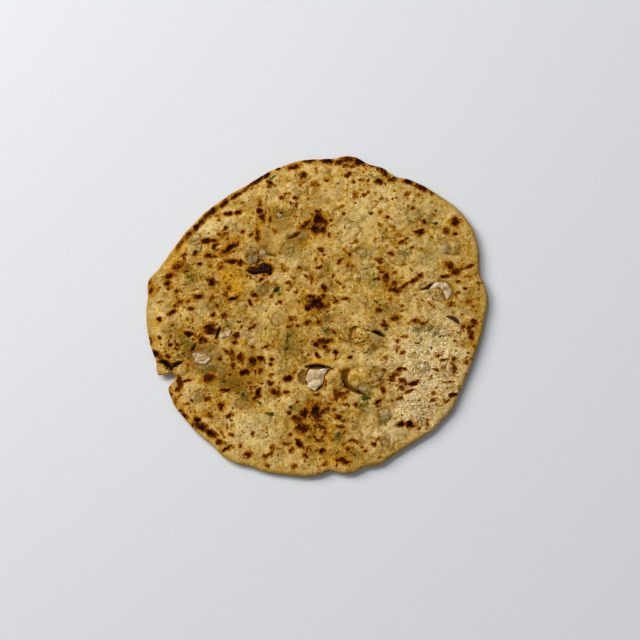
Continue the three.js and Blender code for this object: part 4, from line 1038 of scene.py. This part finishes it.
def lump(around, levels):
    """A unit ball as rings with closed poles: points, and triangles facing out."""
    level = np.linspace(0, math.pi, levels + 2)[1:-1]
    turn = np.arange(around) / around * FULL_TURN
    v, u = np.meshgrid(level, turn, indexing="ij")
    points = np.stack([np.sin(v) * np.cos(u), np.sin(v) * np.sin(u), np.cos(v)], -1).reshape(-1, 3)
    rings = list(np.arange(levels * around).reshape(levels, around))
    points = np.concatenate([points, [[0, 0, 1], [0, 0, -1]]])
    return points, capped(rings, levels * around, levels * around + 1)


def gathered(pieces):
    """One list of points, triangles and shade values from several pieces."""
    points, faces, shades, total = [], [], [], 0
    for p, f, s in pieces:
        points.append(p)
        faces.append(f + total)
        shades.append(s)
        total += len(p)
    return np.concatenate(points), np.concatenate(faces), np.concatenate(shades)


def chunk(x, y, z, half_x, half_y, half_z, turn, seed):
    """A small bit of chopped onion: a ball squared towards a slab, its sides ridged by the onion's
    layers and its faces uneven."""
    ball, faces = lump(20, 10)
    flat = np.sign(ball) * np.abs(ball) ** np.array([0.75, 0.75, 0.55])
    swell = 1 + 0.10 * noise(ball[:, 0] * 3 + seed, ball[:, 1] * 3, 1.0, seed)
    swell = swell + 0.05 * noise(ball[:, 0] * 9, ball[:, 1] * 9 + seed, 1.0, seed + 1)
    ridges = 0.05 * np.sin(ball[:, 1] * 9 + 2 * ball[:, 0] + seed)
    p = flat * swell[:, None] * np.array([half_x, half_y, half_z])
    p[:, 2] += half_z * ridges * 1.5 * (ball[:, 2] > -0.2)
    c, s = math.cos(math.radians(turn)), math.sin(math.radians(turn))
    px = x + p[:, 0] * c - p[:, 1] * s
    py = y + p[:, 0] * s + p[:, 1] * c
    shade = np.clip(0.6 * noise(ball[:, 0] * 4 + seed, ball[:, 1] * 4, 1.0, seed + 5) - 0.05, 0, 1)
    # Painted shade on the bit's sides, darker towards its outer edge
    shade = np.maximum(shade, smooth((np.hypot(ball[:, 0], ball[:, 1]) - 0.86) / 0.14) * 0.55)
    return np.stack([px, py, z + p[:, 2]], -1), faces, shade


def strip(points, half_width, half_height, around, seed, ragged=0.12):
    """A strip along a line: an oval section of the given half width and height carried along smoothed
    points, closed at both ends, its sides ragged."""
    path = np.array(points, float)
    t = np.linspace(0, len(path) - 1, 26)
    i = np.clip(t.astype(int), 0, len(path) - 2)
    f = smooth(t - i)[:, None] * 0.35 + (t - i)[:, None] * 0.65
    line = path[i] * (1 - f) + path[i + 1] * f
    for _ in range(3):
        line[1:-1] = (line[:-2] + 2 * line[1:-1] + line[2:]) / 4
    along = np.gradient(line[:, :2], axis=0)
    along /= np.maximum(np.linalg.norm(along, axis=1, keepdims=True), TINY)
    s = np.linspace(0, 1, len(line))
    swell = np.sin(math.pi * np.clip(s, 0.03, 0.97)) ** 0.5
    swell = swell * (1 + ragged * noise(8 * s, np.full(s.shape, 0.5 * seed), 1.0, seed + 9))
    turn = np.arange(around) / around * FULL_TURN
    w = (half_width * swell)[:, None] * np.cos(turn)
    h = (half_height * swell)[:, None] * np.sin(turn)
    x = line[:, 0:1] - along[:, 1:2] * w
    y = line[:, 1:2] + along[:, 0:1] * w
    body = np.stack([x, y, line[:, 2:3] + h], -1).reshape(-1, 3)
    rings = list(np.arange(len(body)).reshape(len(line), around))
    faces = capped(rings, len(body), len(body) + 1)
    body = np.concatenate([body, line[:1], line[-1:]])
    shade = np.clip(0.12 + 0.6 * noise(body[:, 0], body[:, 1], 2.2, seed + 3), 0, 1)
    return body, outward(body, faces), shade


def outward(points, faces):
    """The faces, all turned over if the solid they close has a negative volume."""
    a, b, c = points[faces[:, 0]], points[faces[:, 1]], points[faces[:, 2]]
    return faces if np.einsum("ij,ij->i", a, np.cross(b, c)).sum() > 0 else faces[:, ::-1]


def slab(points, low, high, seed, square=0.4, rough=0.3, dark=0.0):
    """A piece of cut onion: a ball squared towards a slab whose plan is the closed outline, between two
    heights, its top folded into uneven facets."""
    ball, faces = lump(56, 26)
    outline = rounded(points, 1)
    centre = outline.mean(0)
    outline = outline - centre
    angle = np.arctan2(ball[:, 1], ball[:, 0])
    flat_reach = np.hypot(ball[:, 0], ball[:, 1])
    reach = flat_reach**square * ray_reach(outline, np.roll(outline, -1, axis=0), angle)
    x, y = centre[0] + reach * np.cos(angle), centre[1] + reach * np.sin(angle)
    x = x + 0.45 * noise(x, y, 1.7, seed + 2)
    y = y + 0.45 * noise(x, y, 1.7, seed + 3)
    swell = np.sign(ball[:, 2]) * np.abs(ball[:, 2]) ** square
    uneven = rough * (1.5 * np.abs(noise(x, y, 3.6, seed)) + 0.35 * noise(x, y, 1.4, seed + 1) - 0.4)
    z = (low + high) / 2 + (high - low) / 2 * swell + uneven * smooth(ball[:, 2] * 2)
    # Painted shade: darker on the piece's sides and in the low facets of its top
    edge = smooth((flat_reach - 0.93) / 0.07)
    shade = np.clip(dark + 0.4 * edge + 0.5 * np.clip(-uneven / rough, 0, 1), 0, 1)
    return np.stack([x, y, z], -1), faces, shade


def heights_of(node):
    """The lowest and the highest place of a CAD node, in millimetres."""
    low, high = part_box(node)
    return low.z / MM, high.z / MM


def make_onions():
    """The larger onion pieces, one or more for each CAD node, in its place and at its height."""
    pieces = []
    for n, (node, plans) in enumerate(ONION_PLANS.items()):
        low, high = heights_of(node)
        for k, (dark, rough, up, points) in enumerate(plans):
            pieces.append(slab(points, low, high + up, 200 + 10 * n + k, 0.38, rough, dark))
    low, high = heights_of("onion_ring")
    bend = [(x, y, (low + high) / 2) for x, y in ONION_RING]
    pieces.append(strip(bend, 2.1, (high - low) / 2 - 0.1, 20, 260, 0.35))
    return gathered(pieces)


def make_bits():
    """Small onion bits pressed into the skin, and thin curls of onion lying on it."""
    pieces = []
    heights = carved_top([row[0] for row in ONION_BITS], [row[1] for row in ONION_BITS])
    for n, (x, y, a, b, turn, rise) in enumerate(ONION_BITS):
        pieces.append(chunk(x, y, heights[n] + rise - 0.55, a, b, 0.6, turn, 300 + 7 * n))
    for n, (half, rise, line) in enumerate(ONION_CURLS):
        pieces.append(strip(laid(line, rise - 0.25), half, 0.35, 10, 500 + n))
    return gathered(pieces)


def make_red_strip():
    """A dark strip of red onion lying on the skin."""
    half, rise, line = RED_CURL
    return strip(laid(line, rise - 0.2), half, 0.45, 14, 590)


def make_herbs():
    """Chopped leaves, each a thin lens with a wavy edge pressed on the skin, and short pieces of stem."""
    draw, sx, sy = scattered(HERB_SPECK_COUNT, 44)
    rows = HERB_LEAVES + [
        (x, y, draw.uniform(0.25, 0.65), draw.uniform(0.2, 0.4), draw.uniform(0, 180), draw.uniform(0.2, 1.0))
        for x, y in zip(sx, sy)]
    ball, faces = lump(22, 5)
    x, y, a, b, turn = np.array(rows).T[:5, :, None]
    which = np.arange(len(rows))[:, None] * 7.3
    wave = 0.85 + 0.60 * noise(ball[:, 0] * 3.0 + which, ball[:, 1] * 3.0, 1.0, 601)
    c, s = np.cos(np.radians(turn)), np.sin(np.radians(turn))
    u, v = ball[:, 0] * a * wave, ball[:, 1] * b * wave
    px, py = x + u * c - v * s, y + u * s + v * c
    pz = carved_top(px.ravel(), py.ravel()).reshape(px.shape) + 0.10 * ball[:, 2] + 0.03
    leaves = np.stack([px, py, pz], -1)
    pieces = [(leaf, faces, np.full(len(ball), row[5])) for leaf, row in zip(leaves, rows)]
    for n, line in enumerate(HERB_STEMS):
        p, f, _ = strip(laid(line, 0.12), 0.28, 0.25, 8, 700 + n)
        pieces.append((p, f, np.full(len(p), 0.85)))
    return gathered(pieces)


def make_charred():
    """A charred curl of dough: a raised strip with a thicker lump at its end."""
    base = float(carved_top([-27.0], [24.0])[0])
    bar = strip(laid(CHARRED_BAR, 0.15), 1.1, 0.75, 14, 610)
    return gathered([bar, slab(CHARRED_BLOB, base - 0.8, base + 0.75, 620, 0.6, 0.45)])


# ---------------------------------------------------------------- shader maths
def tint(r, g, b):
    """A colour given by its display values from 0 to 255, as linear light."""
    values = [v / 255 for v in (r, g, b)]
    return tuple(v / 12.92 if v <= 0.04045 else ((v + 0.055) / 1.055) ** 2.4 for v in values) + (1.0,)


# Of these tones the glint is a painted highlight, and the fold, crack, hollow and rim tones are painted
# shade, the hollow one with oil pooled in it
TONES = SimpleNamespace(**{name: tint(*values) for name, values in {
    "olive": (138, 98, 12), "tan": (182, 138, 44), "cream": (211, 180, 108), "light": (228, 210, 164),
    "golden": (206, 150, 22), "grey_olive": (126, 108, 34), "leaf": (66, 66, 10), "veil": (142, 120, 46),
    "sheer": (134, 102, 16), "fold": (102, 70, 8), "clear": (158, 138, 84), "rim": (158, 118, 34),
    "hollow": (118, 76, 6), "speck": (110, 72, 12), "stain": (178, 116, 14), "torn": (112, 74, 2),
    "crack": (24, 11, 3), "glint": (252, 246, 222),
}.items()})
# Browning: each tone comes in between two strengths of the burn
BROWNING = [
    (0.12, 0.26, tint(166, 110, 16)), (0.24, 0.42, tint(138, 80, 7)), (0.37, 0.54, tint(98, 48, 4)),
    (0.52, 0.72, tint(60, 21, 3)), (0.68, 0.92, tint(22, 7, 2)),
]


class Wire:
    """A shader socket that takes part in arithmetic."""

    def __init__(self, look, socket):
        self.look = look
        self.socket = socket

    def math(self, operation, first, second):
        """One node of arithmetic."""
        return self.look.node("ShaderNodeMath", {"operation": operation}, {0: first, 1: second})

    def __add__(self, other):
        return self.math("ADD", self, other)

    def __mul__(self, other):
        return self.math("MULTIPLY", self, other)

    def __sub__(self, other):
        return self.math("SUBTRACT", self, other)

    def __rsub__(self, other):
        return self.math("SUBTRACT", other, self)

    __radd__ = __add__
    __rmul__ = __mul__

    def most(self, other):
        """The greater of two values."""
        return self.math("MAXIMUM", self, other)

    def clamped(self):
        """The value held between 0 and 1."""
        return self.look.node("ShaderNodeClamp", {}, {0: self})

    def step(self, low, high):
        """Smooth step from 0 at low to 1 at high."""
        inputs = {0: self, 1: low, 2: high, 3: 0.0, 4: 1.0}
        return self.look.node("ShaderNodeMapRange", {"interpolation_type": "SMOOTHSTEP"}, inputs)


class Look:
    """A material made of nodes, with a running colour that tones are laid over."""

    def __init__(self, name):
        self.material = bpy.data.materials.new(name)
        self.material.use_nodes = True
        self.tree = self.material.node_tree
        self.tree.nodes.clear()
        self.shader = self.tree.nodes.new("ShaderNodeBsdfPrincipled")
        out = self.tree.nodes.new("ShaderNodeOutputMaterial")
        self.tree.links.new(self.shader.outputs[0], out.inputs[0])
        self.place = self.node("ShaderNodeTexCoord", {}, {}, "Object")
        self.colour = None

    def feed(self, socket, value):
        """Gives a socket a wire or a plain value."""
        if isinstance(value, Wire):
            self.tree.links.new(value.socket, socket)
        else:
            socket.default_value = value

    def node(self, kind, settings, inputs, output=0):
        """A node of a type, its settings set first, then its inputs; gives one of its outputs."""
        node = self.tree.nodes.new(kind)
        for key, value in settings.items():
            setattr(node, key, value)
        for key, value in inputs.items():
            self.feed(node.inputs[key], value)
        return Wire(self, node.outputs[output])

    def field(self, name):
        """A value that the mesh's points carry."""
        return self.node("ShaderNodeAttribute", {"attribute_name": name}, {}, "Fac")

    def grain(self, size, detail=2.0, rough=0.5, warp=0.0, offset=None):
        """Noise from 0 to 1 with features of the given size in millimetres."""
        at = self.place if offset is None else self.node(
            "ShaderNodeVectorMath", {"operation": "ADD"}, {0: self.place, 1: (offset, offset, offset)})
        return self.node("ShaderNodeTexNoise", {}, {
            "Vector": at, "Scale": 1 / (size * MM), "Detail": detail, "Roughness": rough, "Distortion": warp})

    def blend(self, share, a, b):
        """Colour that goes from a to b as share goes from 0 to 1."""
        inputs = {0: share, 6: a, 7: b}
        return self.node("ShaderNodeMix", {"data_type": "RGBA", "clamp_factor": True}, inputs, 2)

    def lay(self, share, tone):
        """Lays a tone over the running colour, wholly where share is 1."""
        self.colour = self.blend(share, self.colour, tone)

    def bumped(self, height, distance, before=None):
        """A normal tilted by a height field, at most so many millimetres high, over an earlier normal."""
        inputs = {"Strength": 1.0, "Distance": distance * MM, "Height": height}
        if before is not None:
            inputs["Normal"] = before
        return self.node("ShaderNodeBump", {}, inputs)

    def finished(self, **values):
        """The material, its running colour and the given values fed to the surface shader."""
        names = {"rough": "Roughness", "coat": "Coat Weight", "normal": "Normal",
                 "coat_rough": "Coat Roughness", "specular": "Specular IOR Level"}
        self.feed(self.shader.inputs["Base Color"], self.colour)
        for key, value in values.items():
            self.feed(self.shader.inputs[names[key]], value)
        return self.material


# ---------------------------------------------------------------- looks
def lay_base(look, field, grain):
    """Olive, tan, cream and light patches as a lightness rises, then golden stains."""
    lightness = (grain.middle - 0.5) * 1.4 + (grain.broad - 0.5) * 0.7 + (grain.small - 0.5) * 1.1
    # The deeper patches darken the base, partly the dough's own tone and partly painted shade over broad
    # hollows
    lightness = lightness + (grain.fine - 0.5) * 0.85 + field.pale * 0.22 - field.deep * 0.22 + 0.585
    look.colour = look.blend(lightness.step(0.05, 0.44), TONES.olive, TONES.tan)
    look.lay(lightness.step(0.36, 0.72), TONES.cream)
    look.lay(lightness.step(0.78, 1.16), TONES.light)
    warm = (field.golden + (grain.middle - 0.5) * 1.3 + (grain.broad - 0.5) * 1.2 - 0.17).step(0.0, 0.75)
    look.lay(warm * 0.95, TONES.golden)


def lay_thin_skin(look, field, grain):
    """Translucent stretches, greener over the filling, with bits of leaf showing through."""
    veil = (grain.blotch - 0.5) * 4.2 + (grain.small - 0.5) * 2.0 + field.clear * 0.40 + field.green * 0.55
    veil = veil + field.deep * 0.10 - field.pale * 0.30 - field.golden * 0.6
    look.lay(veil.step(0.30, 0.85) * 0.62, TONES.veil)
    look.lay((field.green * 0.9 + grain.blotch * 1.1 - 0.92).step(0.0, 0.35) * 0.42, TONES.grey_olive)
    leaf = field.green * 0.5 + look.grain(1.5, 3, 0.6, 0.6, 3.3) - 0.755
    look.lay(leaf.step(0.0, 0.12) * 0.82, TONES.leaf)
    look.lay((field.clear * (grain.middle * 1.6 + grain.small * 0.8 - 0.5)).clamped() * 0.70, TONES.clear)
    look.lay((field.sheer * (grain.middle * 2.4 + grain.small * 1.2 - 0.9)).clamped() * 0.85, TONES.sheer)


def lay_folds(look, field, grain):
    """Painted shade in the folds of the skin and the dips round the domes, painted shade on the rim's
    rounded edge, painted shade in the hollows, browner where oil pools, specks and warm stains. Gives the
    folds: narrow lines where a noise passes its middle value, kept where a broader one is high."""
    bend = look.grain(5.0, 2, 0.55, 1.5, 9.3) - 0.5
    kept = (look.grain(7, 2, 0.5, 0.4, 11.9) - 0.49).step(0.0, 0.08)
    fold = (1.0 - bend.most(bend * -1.0) * 30.0).clamped() * kept
    # Painted shade: the fold tone darkens these folds and the dips round the domes
    look.lay((fold * 0.75 + field.ring * 1.05).clamped() * (0.4 + grain.small * 0.9), TONES.fold)
    # Painted shade on the rounded rim, darker towards the edge all round
    look.lay(field.rim * (0.35 + grain.middle * 0.5), TONES.rim)
    # Painted shade in the hollows, browner where oil pools
    look.lay((field.hollow * (0.1 + grain.small * 0.9)).clamped() * 0.80, TONES.hollow)
    speck = look.grain(0.9, 2, 0.65, 0.2, 4.3)
    look.lay((speck - 0.60 + field.deep * 0.04).step(0.0, 0.07) * 0.55, TONES.speck)
    stain = field.halo + (look.grain(2.2, 3, 0.66, 0.6, 6.1) - 0.5) * 3.0 + field.golden * 0.15 - 0.65
    look.lay(stain.step(0.0, 0.26) * 0.90, TONES.stain)
    return fold


def lay_browning(look, field, grain):
    """The browned marks with ragged edges, and scattered faint browning, thicker where the dough is
    deeper in tone. Gives the strength of the burn."""
    ragged = (grain.small - 0.5) * 1.35 + (grain.fine - 0.5) * 0.9 + (grain.middle - 0.5) * 0.5
    burn = field.char + ragged * field.char.step(0.10, 0.34)
    loose = look.grain(1.8, 4, 0.68, 0.3, 8.3) * 0.9 + look.grain(13, 1, 0.5, 0, 5.1) * 0.26
    loose = loose + field.deep * 0.11 - field.pale * 0.07 + field.halo * 0.05
    burn = burn.most((loose - 0.645).step(0.0, 0.20) * 0.80)
    for low, high, tone in BROWNING:
        look.lay(burn.step(low, high), tone)
    return burn


def dough_look():
    """Baked dough: its tones laid one over the other, then tears, lips and cracks, painted shadow in the
    cracks, painted highlights as glints of oil where it isn't burnt, and a relief of fine grain."""
    look = Look("baked_dough")
    field = SimpleNamespace(**{name: look.field(name) for name in FIELD_NAMES})
    grain = SimpleNamespace(
        broad=look.grain(8, 3, 0.55, 0.3), middle=look.grain(3.0, 3, 0.62, 0.5, 0.3),
        small=look.grain(1.4, 3, 0.65, 0.4, 0.7), fine=look.grain(0.6, 2, 0.6, 0, 1.3),
        blotch=look.grain(4.4, 3, 0.62, 1.0, 2.1))
    lay_base(look, field, grain)
    lay_thin_skin(look, field, grain)
    fold = lay_folds(look, field, grain)
    burn = lay_browning(look, field, grain)
    look.lay(field.torn.step(0.10, 0.9) * (0.7 + grain.small * 0.5), TONES.torn)
    look.lay(field.lip * (0.2 + grain.small * 0.4), TONES.stain)
    # Painted shadow in the cracks: the fold tone at their edges, near black deep inside
    look.lay(field.crack.step(0.15, 0.45) * 0.85, TONES.fold)
    look.lay(field.crack.step(0.45, 0.95) * 0.97, TONES.crack)
    # Painted highlight: pale specks laid into the colour where the oil glitters, besides the coat's real
    # sheen
    spark = look.grain(0.95, 1, 0.5, 0, 7.7)
    unburnt = 1.0 - burn.step(0.15, 0.35)
    glint = (spark - 0.54).step(0.0, 0.08) * (field.oil * 1.1 - field.hollow * 0.2).clamped() * unburnt
    look.lay(glint * 0.56, TONES.glint)
    height = grain.middle * 0.4 + grain.small * 0.7 + grain.fine * 0.45
    height = height - burn.step(0.35, 0.8) * (0.2 + 0.4 * grain.fine) - fold * 0.25
    normal = look.bumped(height, 0.5)
    normal = look.bumped(spark * field.oil * 1.6 + look.grain(0.4, 1, 0.5, 0, 9.1) * 0.3, 0.16, normal)
    rough = 0.7 - field.oil * 0.26 - field.torn * 0.2 - field.clear * 0.12
    oiled = (field.oil * 0.35 + field.clear * 0.08) * unburnt * (1.0 - field.torn)
    coat = (oiled + field.torn * 0.05).clamped()
    return look.finished(rough=rough, coat=coat, coat_rough=0.2, normal=normal, specular=0.02)


def wet_look(name, dark, light, accent, size, gloss=0.35, deepest=(92, 60, 22), shine=0.2):
    """Something moist, mottled between two colours with an accent, darker where its shade says so."""
    look = Look(name)
    broad = look.grain(size, 3, 0.6, 0.5)
    small = look.grain(size * 0.3, 3, 0.6, 0.3, 0.9)
    look.colour = look.blend(broad.step(0.36, 0.64), tint(*dark), tint(*light))
    look.lay(small.step(0.54, 0.70) * 0.6, tint(*accent))
    # For some pieces the shade carries painted shade on their sides and in low facets, besides their own
    # darker tone
    look.lay(look.field("shade"), tint(*deepest))
    normal = look.bumped(broad * 0.6 + small * 0.5, 0.35)
    return look.finished(rough=0.5, coat=gloss, coat_rough=0.15, normal=normal, specular=shine)


def herb_look():
    """Cooked herb: olive to nearly black, as its shade says, with paler veins of noise."""
    look = Look("cooked_herb")
    look.colour = look.blend(look.field("shade"), tint(92, 92, 22), tint(24, 34, 6))
    look.lay(look.grain(0.8, 2).step(0.48, 0.66) * 0.45, tint(76, 92, 16))
    return look.finished(rough=0.6, coat=0.03, coat_rough=0.3, specular=0.04)


def onion_look():
    """Cooked onion: cream to nearly white in patches, the whitest of them painted highlights, dark where its
    shade says so.
    """
    look = Look("cooked_onion")
    shade = look.field("shade")
    broad = look.grain(3.4, 2, 0.5, 0.6)
    small = look.grain(1.3, 2, 0.55, 0.5, 1.1)
    look.colour = look.blend(broad.step(0.36, 0.60), tint(168, 134, 82), tint(208, 184, 148))
    # Painted highlights: the nearly white patches
    look.lay(small.step(0.52, 0.66) * 0.6, tint(228, 214, 190))
    # The shade carries painted shade on the pieces' sides and in their low facets, besides the greyer onion
    # of some pieces
    look.lay(shade.step(0.0, 0.55), tint(128, 106, 68))
    look.lay((shade + (broad - 0.5) * 0.6).step(0.5, 1.0), tint(90, 66, 28))
    normal = look.bumped(broad * 0.9 + small * 0.35, 0.5)
    return look.finished(rough=0.5, coat=0.12, coat_rough=0.2, normal=normal, specular=0.08)


# ---------------------------------------------------------------- put together
dough = make_dough()
dough.data.materials.append(dough_look())
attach(dough, "root")

PIECES = [
    ("bread_filling", make_filling(), "filling",
     wet_look("moist_filling", (94, 60, 4), (128, 88, 8), (156, 114, 26), 2.6, 0.06, (72, 42, 5), 0.05)),
    ("onion_pieces", make_onions(), "onion", onion_look()),
    ("onion_bits", make_bits(), "onion",
     wet_look("seared_onion", (142, 118, 66), (176, 152, 98), (212, 194, 150), 1.8, 0.25)),
    ("onion_red_strip", make_red_strip(), "onion",
     wet_look("red_onion", (34, 16, 10), (74, 46, 30), (136, 108, 80), 1.2, 0.12, (22, 9, 6), 0.06)),
    ("herb_pieces", make_herbs(), "filling", herb_look()),
    ("charred_curl", make_charred(), "dough",
     wet_look("charred_dough", (8, 3, 1), (40, 14, 3), (100, 52, 26), 1.6, 0.03, (6, 2, 1), 0.03)),
]
for name, (points, faces, shade), slot, material in PIECES:
    piece = build(name, points, faces, None, {"shade": shade})
    piece.data.materials.append(material)
    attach(piece, "root")
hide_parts("dough")
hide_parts("filling")
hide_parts(*ONION_PLANS, "onion_ring")

# ---------------------------------------------------------------- table, light and camera
table = bpy.data.meshes.new("table_top")
corners = [(x, y, TABLE_HEIGHT) for x, y in ((-4, -4), (4, -4), (4, 4), (-4, 4))]
table.from_pydata(corners, [], [(0, 1, 2, 3)])
table_top = bpy.data.objects.new("table_top", table)
bpy.context.scene.collection.objects.link(table_top)
plain = Look("pale_table")
plain.colour = (0.66, 0.68, 0.71, 1)
table.materials.append(plain.finished(rough=0.6, specular=0.2))

world = bpy.data.worlds.new("room")
world.use_nodes = True
world.node_tree.nodes["Background"].inputs[0].default_value = (0.95, 0.97, 1.0, 1)
world.node_tree.nodes["Background"].inputs[1].default_value = 0.27
bpy.context.scene.world = world


def direction(azimuth, elevation):
    """The way towards a place seen from the bread, at two angles in degrees: round from the front, and
    up from the table."""
    a, e = math.radians(azimuth), math.radians(elevation)
    return Vector((math.sin(a) * math.cos(e), -math.cos(a) * math.cos(e), math.sin(e)))


def window(name, azimuth, elevation, distance, size, power, colour):
    """A soft square light aimed at the bread."""
    lamp = bpy.data.lights.new(name, "AREA")
    lamp.shape = "SQUARE"
    lamp.size = size
    lamp.energy = power
    lamp.color = colour
    thing = bpy.data.objects.new(name, lamp)
    away = direction(azimuth, elevation)
    thing.location = away * distance
    thing.rotation_euler = away.to_track_quat("Z", "Y").to_euler()
    bpy.context.scene.collection.objects.link(thing)


window("window_left", 238, 38, 2.4, 1.4, 61, (1.0, 0.985, 0.96))
window("window_above", 200, 58, 1.3, 0.25, 4.0, (1.0, 0.99, 0.97))

lens = bpy.data.cameras.new("camera")
lens.lens = 64.5
lens.sensor_width = 36
lens.clip_start = 0.01
camera = bpy.data.objects.new("camera", lens)
away = direction(CAMERA_AZIMUTH, CAMERA_ELEVATION)
across = Vector((0, 1, 0)).cross(away).normalized()
turned = Matrix((across, away.cross(across), away)).transposed().to_4x4()
turned.translation = Vector(CAMERA_AIM) * MM + away * CAMERA_DISTANCE
camera.matrix_world = turned
bpy.context.scene.collection.objects.link(camera)
bpy.context.scene.camera = camera
bpy.context.scene.view_settings.view_transform = "Standard"
